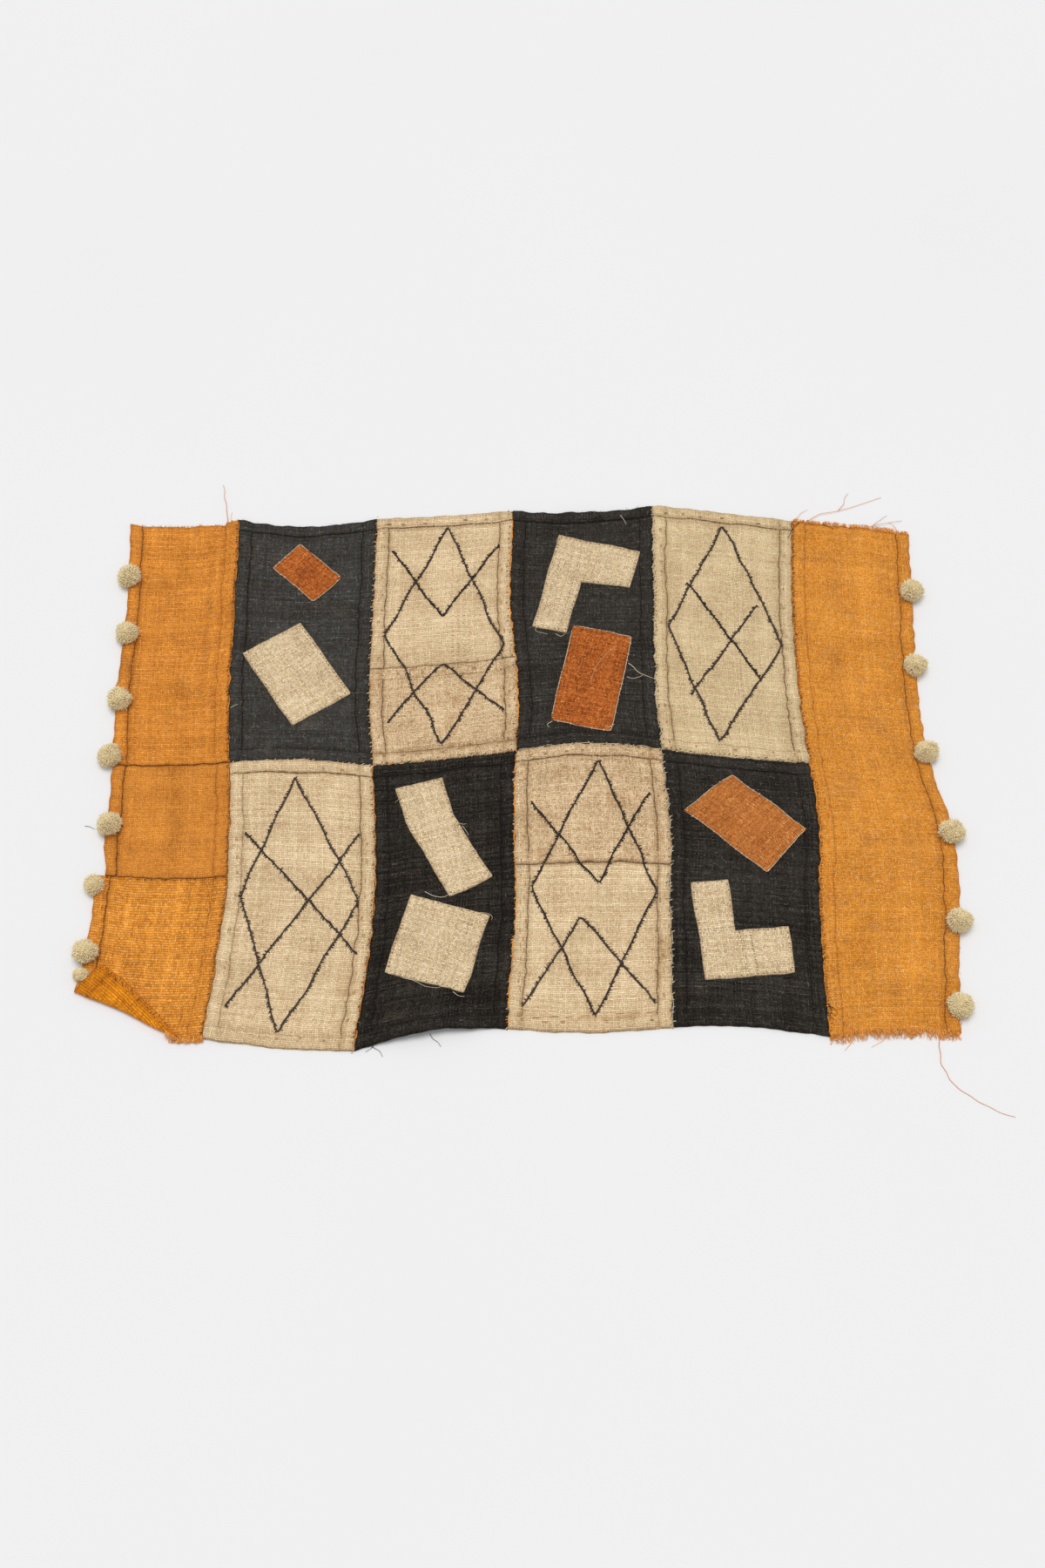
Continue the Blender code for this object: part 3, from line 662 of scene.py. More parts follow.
def grid_lines(length, turned_start, turned_end, step):
    """Distances at which a sheet has lines of points: close together at its edges and at its hems' ends."""
    stops = {*EDGE_LINES, *(length - line for line in EDGE_LINES)}
    if turned_start:
        stops |= {HEM + line for line in HEM_LINES}
    if turned_end:
        stops |= {length - HEM - line for line in HEM_LINES}
    stops, lines = sorted(stops), []
    for low, high in zip(stops, stops[1:]):
        lines += list(np.linspace(low, high, max(1, round((high - low) / step)), endpoint=False))
    return np.array(lines + stops[-1:])


def fold_over(points):
    """Wraps what lies beyond the fold line up round the bend and back over the sheet."""
    start = np.array((*FOLD_FROM, 0))
    along = np.array((*FOLD_TO, 0)) - start
    along /= np.linalg.norm(along)
    inward = np.array((-along[1], along[0], 0))
    bend_height = THICKNESS / 2 + FOLD_RADIUS
    beyond = -((points - start) @ inward)
    angle = np.clip(beyond / FOLD_RADIUS, 0, math.pi)
    back = np.clip(beyond - math.pi * FOLD_RADIUS, 0, None)
    radius = bend_height - points[..., 2]
    folded = points + inward * (beyond + back - radius * np.sin(angle))[..., None]
    folded[..., 2] = bend_height - radius * np.cos(angle) - back * FLAP_DROOP
    return np.where((beyond > 0)[..., None], folded, points)


ABOVE_ALL = 50.0
surface_points, surface_faces = [], []


def add_to_surface(top):
    """Keeps a sheet's upper points, so that threads and patches can be laid on it."""
    rows, columns = top.shape[:2]
    index = np.arange(rows * columns).reshape(rows, columns) + sum(map(len, surface_points))
    surface_points.append(top.reshape(-1, 3))
    surface_faces.append(grid_quads(index))


def surface_tree():
    points, faces = np.concatenate(surface_points), np.concatenate(surface_faces)
    return BVHTree.FromPolygons(points.tolist(), faces.tolist())


def laid(tree, x, y, above=0.0):
    """Points on top of the cloth, or on the surface below beside it."""
    heights = []
    for one_x, one_y in zip(np.ravel(x), np.ravel(y)):
        hit = tree.ray_cast((float(one_x), float(one_y), ABOVE_ALL), (0, 0, -1))[0]
        heights.append(hit.z if hit else 0.0)
    return side_by_side(x, y, np.reshape(heights, np.shape(x)) + above)


def edge_share(nearest):
    """The share of its thickness that a sheet has at a distance from its rounded edge."""
    rounding = np.sqrt(1 - (1 - np.clip(nearest / EDGE_ROUND, 0, 1)) ** 2)
    return EDGE_FOOT + (1 - EDGE_FOOT) * rounding


def tab_dip(from_right):
    """How far the left border's top edge lies below the end of its right hem, just beside that hem."""
    return TAB_DROP * np.interp(from_right - HEM, TAB_LINES, TAB_SHARES, left=0)


def make_panel(number, name, column, start, end, turned_edges, cloth):
    """One sewn piece of cloth, with its hems, rounded edges, waves and puckers."""
    step = FOLDED_GRID_STEP if name == FOLDED_PANEL else GRID_STEP
    width, tall = panel_size(column, start, end)
    across = grid_lines(width, "left" in turned_edges, "right" in turned_edges, step)
    upward = grid_lines(tall, "bottom" in turned_edges, "top" in turned_edges, step)
    a, b = np.meshgrid(across, upward)
    none = np.zeros(a.shape)
    distances = {"left": a, "right": width - a, "bottom": b, "top": tall - b}
    hems, lines, wander = ({side: none for side in distances} for _ in range(3))
    painted_shade, crown, streak = none, none, none
    for order, (side, distance) in enumerate(distances.items()):
        if side in turned_edges:
            tone = HEM_TONES.get((name, side), CLOTHS[cloth].lines)
            hems[side] = np.interp(distance - HEM, HEM_LINES, HEM_HEIGHTS)
            lines[side] = tone * np.interp(distance - HEM, HEM_LINES, HEM_DARKNESS)
            crown = crown + HEM_CROWN * np.interp(distance, CROWN_LINES, CROWN_SHAPE)
            # Painted shade beside the hem's raised end
            painted_shade = np.maximum(painted_shade, tone * fading(np.abs(distance - HEM), PAINTED_SHADE_REACH))
            course, seed = b if side in ("left", "right") else a, 10 * number + order
            shift = HEM_WANDER * ripples(course, 0.0, HEM_WANDER_LENGTH, seed)
            shift += HEM_WOBBLE * ripples(course, 0.0, HEM_WOBBLE_LENGTH, seed + 5)
            wander[side] = shift * np.interp(distance, (0, HEM, 3 * HEM), (0, 1, 0))
    u = (a + wander["left"] - wander["right"]) / width
    level = start + (end - start) * (b + wander["bottom"] - wander["top"]) / tall
    x, y = place(column, u, level)
    x += GAP / 2 * ((a == 0) * 1.0 - (a == across[-1]))
    y += GAP / 2 * ((b == 0) * 1.0 - (b == upward[-1]))
    x += drawn_in(name, start, level) * fading(a, SETBACK_REACH)
    if name == TAB:
        y -= tab_dip(width - a) * fading(tall - b, 4 * TAB_DROP)
    for distance, seed in ((a, 80 + column), (width - a, 81 + column)):
        x += BULGE * ripples(y, 0.0, BULGE_LENGTH, seed) * fading(distance, BULGE_REACH)
    for distance, level_there in ((b, start), (tall - b, end)):
        seed = 90 + round(4 * level_there)
        y += BULGE * ripples(x, 0.0, BULGE_LENGTH, seed) * fading(distance, BULGE_REACH)
    side_hem, level_hem = hems["left"] + hems["right"], hems["bottom"] + hems["top"]
    raised = level_hem + side_hem * (1 - (1 - HEM_OVER_HEM) * np.clip(level_hem, 0, 1))
    line = np.maximum(
        np.maximum(lines["bottom"], lines["top"]),
        np.maximum(lines["left"], lines["right"]) * (1 - np.clip(level_hem, 0, 1)),
    )
    # Painted shade in the gap where each edge rolls down beside its neighbour
    for side, distance in distances.items():
        darkness = JOINS.get((name, side), PLAIN_JOIN)
        line = np.maximum(line, darkness * np.interp(distance, EDGE_LINES, EDGE_DARKNESS))
    nearest = np.minimum(np.minimum(a, width - a), np.minimum(b, tall - b))
    painted_shade = np.maximum(painted_shade, EDGE_PAINTED_SHADE * fading(nearest, PAINTED_SHADE_REACH))
    low = lift_at(x, y)
    uneven = PUCKER_HEIGHT * ripples(x, y, PUCKER_LENGTH, 40 + number)
    pucker = uneven * (PUCKER_LEAST + np.clip(raised, 0, 1.2))
    thick = THICKNESS + HEM_STEP * raised + crown + pucker
    for at_bottom, at_top, half_width, tone in STREAKS.get(name, ()):
        off = (a - at_bottom - (at_top - at_bottom) * b / tall) / half_width
        change = STREAK_CHANGE * ripples(b, a, STREAK_LENGTH, 60 + number)
        streak = streak + tone * np.exp(-off**2) * (STREAK_EVENNESS + change)
    top, bottom = side_by_side(x, y, low + thick * edge_share(nearest)), side_by_side(x, y, low)
    if name == FOLDED_PANEL:
        top, bottom = fold_over(top), fold_over(bottom)
    obj = add_sheet(
        name, cloth, top, bottom, side_by_side(a + 37.3 * number, b + 11.9 * number),
        {
            "line": line, "painted_shade": painted_shade, "streak": streak + PANEL_TONES.get(name, 0),
            "stain": hill(x, y, STAINS),
        },
        line_below=UNDERSIDE_LINE,
    )
    add_to_surface(top)
    if name == FOLDED_PANEL:
        add_to_surface(bottom[:, ::-1])


def turned(x, y, degrees):
    angle = math.radians(degrees)
    return x * math.cos(angle) - y * math.sin(angle), x * math.sin(angle) + y * math.cos(angle)


def round_corner(a, b, radius):
    """Draws a square corner in to a quarter circle. a and b are distances from its two edges."""
    p, q = np.clip(radius - a, 0, radius), np.clip(radius - b, 0, radius)
    length = np.hypot(p, q)
    share = np.where(length > 0, np.maximum(p, q) / np.where(length > 0, length, 1), 1)
    return a + p * (1 - share), b + q * (1 - share)


def patch_lengths(cross_lines):
    """Width of a patch and the lengths of its stretches, taken down the middle of each."""
    ends = np.array(cross_lines, float)
    middles = ends.mean(axis=1)
    width = float(np.linalg.norm(ends[0, 1] - ends[0, 0]))
    return width, np.linalg.norm(np.diff(middles, axis=0), axis=1)


def patch_point(cross_lines, u, v):
    """Points of a patch in its own frame: u across it from 0 to 1, and v along it, in stretches."""
    ends = np.array(cross_lines, float)
    i = np.clip(v.astype(int), 0, len(ends) - 2)
    t = (v - i)[..., None]
    left = ends[i, 0] * (1 - t) + ends[i + 1, 0] * t
    right = ends[i, 1] * (1 - t) + ends[i + 1, 1] * t
    both = left + (right - left) * u[..., None]
    return both[..., 0], both[..., 1]


def patch_to_cloth(name, x, y, turn, local_x, local_y):
    mirrored = -1 if name == MIRRORED_PATCH else 1
    moved_x, moved_y = turned(local_x, mirrored * local_y, turn)
    return x + moved_x, y + moved_y


def patch_waver(x, y, number):
    """How far a patch's edge strays from its straight sides."""
    return tuple(
        sum(height * ripples(x, y, length, seed + more + number) for height, length, more in WAVER_WAVES)
        for seed in (70, 80)
    )


def outline_of(cross_lines):
    """Corners of a patch in order, up its left side and back down its right side, and their signed area."""
    ends = np.array(cross_lines, float)
    corners = np.concatenate([ends[:, 0], ends[::-1, 1]])
    x, y = corners.T
    return corners, (np.dot(x, np.roll(y, -1)) - np.dot(y, np.roll(x, -1))) / 2


def make_patch(number, tree, name, panel, x, y, turn, cross_lines, cloth, threads_turn):
    """A sewn patch that lies on its panel and over the panel's hems."""
    width, lengths = patch_lengths(cross_lines)
    total = lengths.sum()
    across, along = (grid_lines(length, False, False, PATCH_GRID_STEP) for length in (width, total))
    a, b = np.meshgrid(across, along)
    for from_right in (False, True):
        for from_end in (False, True):
            near_a = width - a if from_right else a
            near_b = total - b if from_end else b
            near_a, near_b = round_corner(near_a, near_b, PATCH_CORNER)
            a = width - near_a if from_right else near_a
            b = total - near_b if from_end else near_b
    v = np.interp(b, np.concatenate([[0], np.cumsum(lengths)]), np.arange(len(lengths) + 1))
    local_x, local_y = patch_point(cross_lines, a / width, v)
    flat_x, flat_y = patch_to_cloth(name, x, y, turn, local_x, local_y)
    nearest = np.minimum(np.minimum(a, width - a), np.minimum(b, total - b))
    waver = fading(nearest, WAVER_REACH)
    shift_x, shift_y = patch_waver(flat_x, flat_y, number)
    flat_x, flat_y = flat_x + waver * shift_x, flat_y + waver * shift_y
    bottom = laid(tree, flat_x, flat_y, PATCH_CLEARANCE)
    pucker = PATCH_PUCKER * ripples(flat_x, flat_y, PATCH_PUCKER_LENGTH, 90 + number)
    top = bottom.copy()
    top[..., 2] += (PATCH_THICKNESS + pucker) * edge_share(nearest)
    weave_x, weave_y = turned(local_x, local_y, threads_turn)
    obj = add_sheet(
        name, cloth, top, bottom, side_by_side(weave_x + 53.7 * number, weave_y + 29.1 * number),
        {
            # The patch's dark edge line and the band beside it are painted shade at its rolled edge
            "line": PATCH_LINE * np.interp(nearest, EDGE_LINES, EDGE_DARKNESS),
            "painted_shade": PATCH_PAINTED_SHADE * fading(nearest, PATCH_PAINTED_SHADE_REACH),
            "stain": hill(flat_x, flat_y, STAINS),
            "streak": np.zeros(a.shape),
        },
        flipped=name == MIRRORED_PATCH,
    )
    add_to_surface(top if name != MIRRORED_PATCH else top[:, ::-1])


# Threads

# A tube that runs steeper than this on average takes its sides from x, and not from upright
STEEP = 0.85


class Threads:
    """Many thin closed tubes gathered into one mesh, with a shade for each tube."""

    def __init__(self, seed):
        self.points, self.faces, self.shades, self.along, self.count = [], [], [], [], 0
        self.chance = np.random.default_rng(seed)

    def add(self, courses, radii, sides=4):
        """Adds tubes that each follow a course of the same number of points, with the same radii."""
        courses = np.asarray(courses, float)
        courses = courses[None] if courses.ndim == 2 else courses
        tubes, rings = courses.shape[:2]
        radii = np.broadcast_to(np.asarray(radii, float), (tubes, rings))
        forward = unit(np.gradient(courses, axis=1))
        steep = np.abs(forward[..., 2].mean(axis=1)) > STEEP
        reference = np.where(steep[:, None], (1.0, 0.0, 0.0), (0.0, 0.0, 1.0))[:, None, :]
        aside = unit(np.cross(forward, reference))
        upward = np.cross(aside, forward)
        angles = 2 * math.pi * (np.arange(sides) + 0.5) / sides
        cosines, sines = np.cos(angles)[:, None], np.sin(angles)[:, None]
        ring = cosines * aside[:, :, None] + sines * upward[:, :, None]
        points = courses[:, :, None] + radii[:, :, None, None] * ring
        index = np.arange(rings * sides).reshape(rings, sides)
        beside = np.roll(index, -1, axis=1)
        walls = side_by_side(index[:-1], beside[:-1], beside[1:], index[1:]).reshape(-1, 4).tolist()
        ends = [index[0, ::-1].tolist(), index[-1].tolist()]
        per_tube = rings * sides
        for tube in range(tubes):
            start = self.count + tube * per_tube
            self.faces += [[corner + start for corner in face] for face in walls + ends]
        self.points.append(points.reshape(-1, 3))
        self.shades.append(np.repeat(self.chance.uniform(0, 1, tubes), per_tube))
        self.along.append(np.tile(np.repeat(np.linspace(0, 1, rings), sides), tubes))
        self.count += tubes * per_tube

    def build(self, name, thread):
        obj = add_object(
            name, np.concatenate(self.points), self.faces, materials[thread],
            marks={"shade": np.concatenate(self.shades), "along": np.concatenate(self.along)},
        )
        return obj


def spaced(corners, step, closed=False):
    """Points a step apart along the straight stretches between corners, and the directions there."""
    corners = np.asarray(corners, float)
    if closed:
        corners = np.concatenate([corners, corners[:1]])
    lengths = np.linalg.norm(np.diff(corners, axis=0), axis=1)
    travelled = np.concatenate([[0], np.cumsum(lengths)])
    at = np.arange(0, travelled[-1], step)
    points = np.stack([np.interp(at, travelled, corners[:, k]) for k in range(corners.shape[1])], axis=1)
    return points, unit(np.gradient(points, axis=0))


def soften(points, times, closed=False):
    """Rounds a course by averaging each point with its neighbours."""
    for _ in range(times):
        if closed:
            points = (np.roll(points, 1, axis=0) + 2 * points + np.roll(points, -1, axis=0)) / 4
        else:
            points = points.copy()
            points[1:-1] = (points[:-2] + 2 * points[1:-1] + points[2:]) / 4
    return points


# A stitch: places along it, their heights (shares of its rise, or depths), and how far it spans dips
ARCH_SHARES = (0, 0.12, 0.5, 0.88, 1)
ARCH_HEIGHTS = (-0.25, 0.6, 1, 0.6, -0.25)
ARCH_SPAN = 0.6


def arches(tree, starts, ends, rise):
    """Courses of short stitches that come out of the cloth, pass over it and go back in."""
    shares, heights = np.array(ARCH_SHARES), np.array(ARCH_HEIGHTS)
    flat = starts[:, None, :2] + (ends - starts)[:, None, :2] * shares[None, :, None]
    points = laid(tree, flat[..., 0], flat[..., 1])
    highest = points[..., 2].max(axis=1, keepdims=True)
    level = highest * ARCH_SPAN + points[..., 2] * (1 - ARCH_SPAN)
    points[..., 2] = np.where(heights > 0, level + rise * heights, points[..., 2] + heights)
    return points


# Points of a course, how far its corners are softened, and how the line strays: height, length, seed
COURSE_STEP = 1.2
COURSE_SOFTENING = 6
LINE_STRAY_X = (0.9, 38, 210)
LINE_STRAY_Y = (0.35, 12, 220)
LINE_SWELL = (0.25, 9, 230)
LINE_HEIGHT = 0.6

# Barbs: lean, place along the line, reach, how many lie on the other side, root, heights, thickness, how
# many are missing, and how many carry lint
BARB_LEAN = (0.25, 0.8)
BARB_PLACE = 0.55
BARB_REACH = (0.5, 1.15)
BARB_SWAPPED = 0.2
BARB_ROOT = 0.5
BARB_SHARES = (0, 0.5, 1)
BARB_HEIGHTS = (0.55, 0.4, 0)
BARB_THICKNESS = (0.75, 1.2)
BARB_TAPER = (1.1, 1.0, 0.75)
BARB_MISSING = 0.1
LINT_SHARE = 0.13
LINT_RADII = (0.26, 0.2)


def embroider(tree, specks, number, name, courses):
    """Couched dark lines, and the barbs of the stitches that hold them down on one side."""
    threads = Threads(200 + number)
    chance = threads.chance
    for corners, closed, side in courses:
        points, _ = spaced(corners, COURSE_STEP, closed)
        points = soften(points, COURSE_SOFTENING, closed)
        for axis, (height, length, seed) in enumerate((LINE_STRAY_X, LINE_STRAY_Y)):
            points[:, axis] += height * ripples(points[:, 1 - axis], points[:, axis], length, seed + number)
        if closed:
            points = np.concatenate([points, points[:1]])
        course = laid(tree, points[:, 0], points[:, 1], LINE_RADIUS * LINE_HEIGHT)
        height, length, seed = LINE_SWELL
        swell = 1 + height * ripples(np.arange(len(course)) * COURSE_STEP, 0.0, length, seed + number)
        threads.add(course, LINE_RADIUS * swell, sides=6)
        marks, heading = spaced(points, BARB_PITCH)
        count = len(marks)
        aside = side_by_side(-heading[:, 1], heading[:, 0]) * side
        lean = chance.uniform(*BARB_LEAN, (count, 1))
        marks += heading * chance.uniform(-BARB_PLACE, BARB_PLACE, (count, 1))
        reach = BARB_LENGTH * chance.uniform(*BARB_REACH, (count, 1))
        swapped = np.where(chance.uniform(0, 1, (count, 1)) < BARB_SWAPPED, -1, 1)
        tips = marks + (aside * swapped + heading * lean) * reach / np.hypot(1, lean)
        roots = marks - aside * swapped * BARB_ROOT
        flat = roots[:, None] + (tips - roots)[:, None] * np.array(BARB_SHARES)[None, :, None]
        barbs = laid(tree, flat[..., 0], flat[..., 1], 0.1)
        barbs[..., 2] += BARB_HEIGHTS
        keep = chance.uniform(0, 1, count) > BARB_MISSING
        thick = BARB_RADIUS * chance.uniform(*BARB_THICKNESS, (count, 1)) * np.array(BARB_TAPER)
        threads.add(barbs[keep], thick[keep])
        lint = chance.uniform(0, 1, count) < LINT_SHARE
        onward = np.concatenate([heading, np.zeros((count, 1))], axis=1)
        specks.add((barbs + onward[:, None])[lint, 1:], np.array(LINT_RADII))
    threads.build(name, "thread_black")


# Stitches over seams, by thread: kind of seam, its number or column, from, to, pitch, and how far they
# reach to its left or below and to its right or above
SEAM_STITCHES = {
    "thread_brown": (
        ("upright", 1, 1, 2, 4.4, 1.9, -1.1), ("upright", 1, 0, 1, 6.2, 1.9, -1.1),
        ("upright", 2, 0, 1, 4.6, 1.9, -1), ("upright", 3, 1, 2, 5.4, 3.2, -2.2),
        ("upright", 4, 1, 2, 3.6, -1.3, 2), ("upright", 4, 0, 1, 6.8, 2.3, -1.3),
        ("upright", 5, 1, 2, 3.1, -0.3, 1.4), ("upright", 5, 0, 1, 7.4, -0.9, 1.8),
        ("level", 4, 0.02, 0.98, 3.8, -1.3, 2.1), ("level", 2, 0.02, 0.98, 5.2, -1.2, 1.9),
        ("level", 3, 0.02, 0.98, 6, 1.9, -1.2), ("join", 0, 0.02, 0.98, 5, 1.6, -0.9),
    ),
    "thread_rust": (
        ("upright", 1, 1, 2, 2.4, 1.5, -0.2), ("upright", 1, 0, 1, 2.6, 1.5, -0.2),
        ("upright", 5, 1, 2, 1.5, -0.2, 2.2), ("upright", 5, 0, 1, 2, -0.4, 2.4),
    ),
    "thread_cream": (
        ("upright", 2, 1, 2, 5.2, 1.3, 0.8), ("upright", 3, 0, 1, 8.4, 1.2, 0.5),
        ("upright", 4, 1, 2, 4.6, 0.6, 0.7), ("upright", 4, 0, 1, 5.4, 0.6, 1.7),
        ("level", 1, 0.02, 0.98, 5.1, 0.8, 0.5), ("level", 2, 0.02, 0.98, 5.3, 0.6, 0.6),
        ("level", 3, 0.02, 0.98, 4.8, 0.8, 0.6), ("level", 4, 0.02, 0.98, 5.4, 0.6, 0.6),
    ),
    "thread_orange": (
        ("upright", 2, 0, 1, 4.1, 0.8, 0.6), ("upright", 3, 1, 2, 4.4, 0.8, 0.5),
        ("upright", 3, 0, 1, 4.2, 0.8, 0.8), ("upright", 5, 0, 2, 1.9, 0.2, 1.6),
        ("level", 2, 0.02, 0.98, 7, 0.6, 0.5), ("join", 0, 0.02, 0.98, 2.6, 2, -0.5),
    ),
}
STITCH_RADII = (0.18, 0.26, 0.28, 0.26, 0.18)
STITCH_RISE = 0.22

# Threads that run along a seam, by thread: kind of seam, its number or column, from, to, radius and shift
SEAM_THREADS = {
    "thread_orange": (
        ("upright", 1, 1, 2, 0.34, -0.2), ("upright", 1, 0, 1, 0.26, -0.2),
        ("upright", 2, 1, 2, 0.26, 0.6), ("upright", 2, 0, 1, 0.4, 0.2), ("upright", 3, 1, 2, 0.52, -0.3),
        ("upright", 3, 0, 1, 0.46, 0.3), ("upright", 5, 0, 2, 0.3, 0.3),
    ),
    "thread_cream": (
        ("upright", 4, 0, 1, 0.24, 0.1), ("upright", 4, 1, 2, 0.18, 0.5),
        ("level", 1, 0.02, 0.98, 0.2, -0.3), ("level", 3, 0.02, 0.98, 0.26, 0),
        ("level", 2, 0.02, 0.98, 0.16, 0.3), ("level", 4, 0.02, 0.98, 0.18, 0.3),
    ),
    "thread_brown": (
        ("upright", 5, 1, 2, 0.22, 0.1),
    ),
}
THREAD_STEP = 1.6
THREAD_STRAY = (0.35, 12, 300)
THREAD_DEPTH = 0.02
THREAD_DIVES = (0.26, 15, 330)


def seam_course(kind, number, start, end, step):
    """Points along a seam, and the directions along it and to its right or upper side."""
    if kind == "upright":
        tall = float(seam_height(number, end) - seam_height(number, start))
        level = np.linspace(start, end, max(2, round(tall / step)))
        x, y = seam_x(number, level), seam_height(number, level)
    else:
        line = LOWER_CROSS_SEAM if kind == "join" else MIDDLE
        width = SEAMS[number + 1][3] - SEAMS[number][3]
        u = np.linspace(start, end, max(2, round(width / step)))
        x, y = place(number, u, np.full(len(u), float(line)))
    points = side_by_side(x, y)
    heading = unit(np.gradient(points, axis=0))
    across = side_by_side(heading[:, 1], -heading[:, 0])
    return points, heading, across if kind == "upright" else -across


def strayed(run, wave, number):
    """How far a thread strays at some lengths along its run."""
    height, length, seed = wave
    return height * ripples(run, 0.0, length, seed + number)


def overcast(tree, pile, seam, pitch, before, after):
    """Uneven stitches over a seam."""
    points, heading, across = seam_course(*seam, pitch)
    count, chance = len(points), pile.chance
    points = points + heading * chance.normal(0, 0.24 * pitch, (count, 1))
    reach = chance.uniform(0.6, 1.25, (count, 1))
    slant = chance.normal(0.55, 0.4, (count, 1))
    starts = points - across * before * reach - heading * slant
    ends = points + across * after * reach + heading * slant
    keep = chance.uniform(0, 1, count) > 0.12
    thick = chance.uniform(0.75, 1.25, (count, 1)) * np.array(STITCH_RADII)
    pile.add(arches(tree, starts[keep], ends[keep], STITCH_RISE), thick[keep])


def sew_seams(tree, piles):
    """Overcast stitches over the seams, and the threads that run along them."""
    for thread, rows in SEAM_STITCHES.items():
        for *seam, pitch, before, after in rows:
            overcast(tree, piles[thread], seam, pitch, before, after)
    for thread, rows in SEAM_THREADS.items():
        for *seam, radius, shift in rows:
            points, _, across = seam_course(*seam, THREAD_STEP)
            run, number = np.arange(len(points)) * THREAD_STEP, seam[1]
            points = points + across * (shift + strayed(run, THREAD_STRAY, number))[:, None]
            course = laid(tree, points[:, 0], points[:, 1])
            course[:, 2] -= THREAD_DEPTH + strayed(run, THREAD_DIVES, number)
            course[:, 2] = soften(course[:, 2], 2)
            piles[thread].add(course, radius, sides=5)


# Running stitches inside the hems, in pairs: thread, pitch and length
HEM_STITCHES = {
    "cream": ("thread_tan", 15.0, 3.4),
    "cream_pink": ("thread_tan", 15.0, 3.4),
    "cream_green": ("thread_tan", 15.0, 3.0),
    "orange_bright": ("thread_orange", 11.0, 3.6),
    "orange_plain": ("thread_orange", 11.0, 4.2),
    "orange_brown": ("thread_orange", 12.0, 4.2),
    "orange_yellow": ("thread_orange", 10.5, 4.2),
    "black": ("fibre_black", 16.0, 3.0),
}
HEM_STITCH_PLACE = 3.2
HEM_PAIR_GAP = 1.1
HEM_STITCH_RISE = 0.16
HEM_STITCHES_MISSING = 0.3
HEM_STITCH_RADII = (0.16, 0.24, 0.26, 0.24, 0.16)
# Thickness of the low dark dash laid between a pair on orange hems, as painted shadow
PAINTED_SHADOW_RADII = (0.1, 0.16, 0.18, 0.16, 0.1)

# Hem stitches and stray fibres keep this far above the folded corner
FOLD_MARGIN = 12


def unfolded(name, y):
    """Whether places on a piece lie clear of the folded corner."""
    return (y > FOLD_FROM[1] + FOLD_MARGIN) | (name != FOLDED_PANEL)


def hem_stitches(tree, piles, number, name, column, start, end, turned_edges, cloth):
    """Pairs of short dashes that hold the hems down, with a low dark dash between those of an orange one as
    painted shadow.
    """
    thread, pitch, dash = HEM_STITCHES[cloth]
    rows = [(way * HEM_PAIR_GAP / 2, thread, HEM_STITCH_RADII, HEM_STITCH_RISE) for way in (-1, 1)]
    # A low dark dash between the pair is painted shadow
    if cloth.startswith("orange"):
        rows.append((0.0, "thread_rust", PAINTED_SHADOW_RADII, 0.0))
    chance = np.random.default_rng(700 + number)
    width, tall = panel_size(column, start, end)
    for side in turned_edges.split():
        upright = side in ("left", "right")
        run = tall if upright else width
        middles = np.arange(HEM, run - HEM, pitch)
        count = len(middles)
        middles = middles + chance.normal(0, 1.6, count)
        halves = dash / 2 * chance.uniform(0.4, 1.3, count)
        place_in = HEM - HEM_STITCH_PLACE + chance.normal(0, 0.5, count)
        keep = chance.uniform(0, 1, count) > HEM_STITCHES_MISSING
        for shift, pile_name, radii, rise in rows:
            away = place_in + shift * chance.uniform(0.35, 1.35, count) + chance.normal(0, 0.15, count)
            ends = []
            for sign in (-1, 1):
                along = middles + sign * halves
                a = away if side == "left" else width - away if side == "right" else along
                b = away if side == "bottom" else tall - away if side == "top" else along
                ends.append(side_by_side(*place(column, a / width, start + (end - start) * b / tall)))
            shown = keep & unfolded(name, ends[0][:, 1])
            if shown.any():
                piles[pile_name].add(arches(tree, ends[0][shown], ends[1][shown], rise), np.array(radii))


# The overcast band along the free edge of the folded corner: its share of the raw edge, and for each row
# the thread, pitch, from and to across the band, radius and lift
BAND_SPAN = (0.03, 0.70)
BAND_TAPER = (0.7, 1, 1.1, 1, 0.7)
BAND_ROWS = (
    ("thread_orange", 1.9, 0.1, 2.9, 0.32, 0.25),
    ("fibre_orange", 3.1, 0.2, 2.2, 0.28, 0.5),
    ("thread_brown", 2.6, 2.7, 3.6, 0.28, 0.02),
    ("thread_rust", 2.3, 0.3, 3.2, 0.22, 0.1),
)


def bind_flap(tree, piles):
    """Stitches over the free edge of the folded corner, whose underside faces up."""
    column = 0
    width = float(seam_x(column + 1, BOTTOM) - seam_x(column, BOTTOM))
    tall = float(seam_height(column, LOWER_CROSS_SEAM) - seam_height(column, BOTTOM))
    for thread, pitch, low, high, radius, lift in BAND_ROWS:
        pile = piles[thread]
        count = round(width * (BAND_SPAN[1] - BAND_SPAN[0]) / pitch)
        u = np.linspace(*BAND_SPAN, count) + pile.chance.normal(0, 0.4 * pitch / width, count)
        shown = pile.chance.uniform(0, 1, count) > 0.15
        ends = []
        for inward, slide in ((low, 0.0), (high, 0.008)):
            reach = inward + pile.chance.normal(0, 0.45, count)
            share = u + slide + pile.chance.normal(0, 0.006, count)
            x, y = place(column, share, LOWER_CROSS_SEAM * reach / tall)
            ends.append(fold_over(side_by_side(x, y, np.zeros(count)))[:, :2])
        thick = radius * pile.chance.uniform(0.7, 1.3, (count, 1)) * np.array(BAND_TAPER)
        pile.add(arches(tree, ends[0][shown], ends[1][shown], lift), thick[shown])


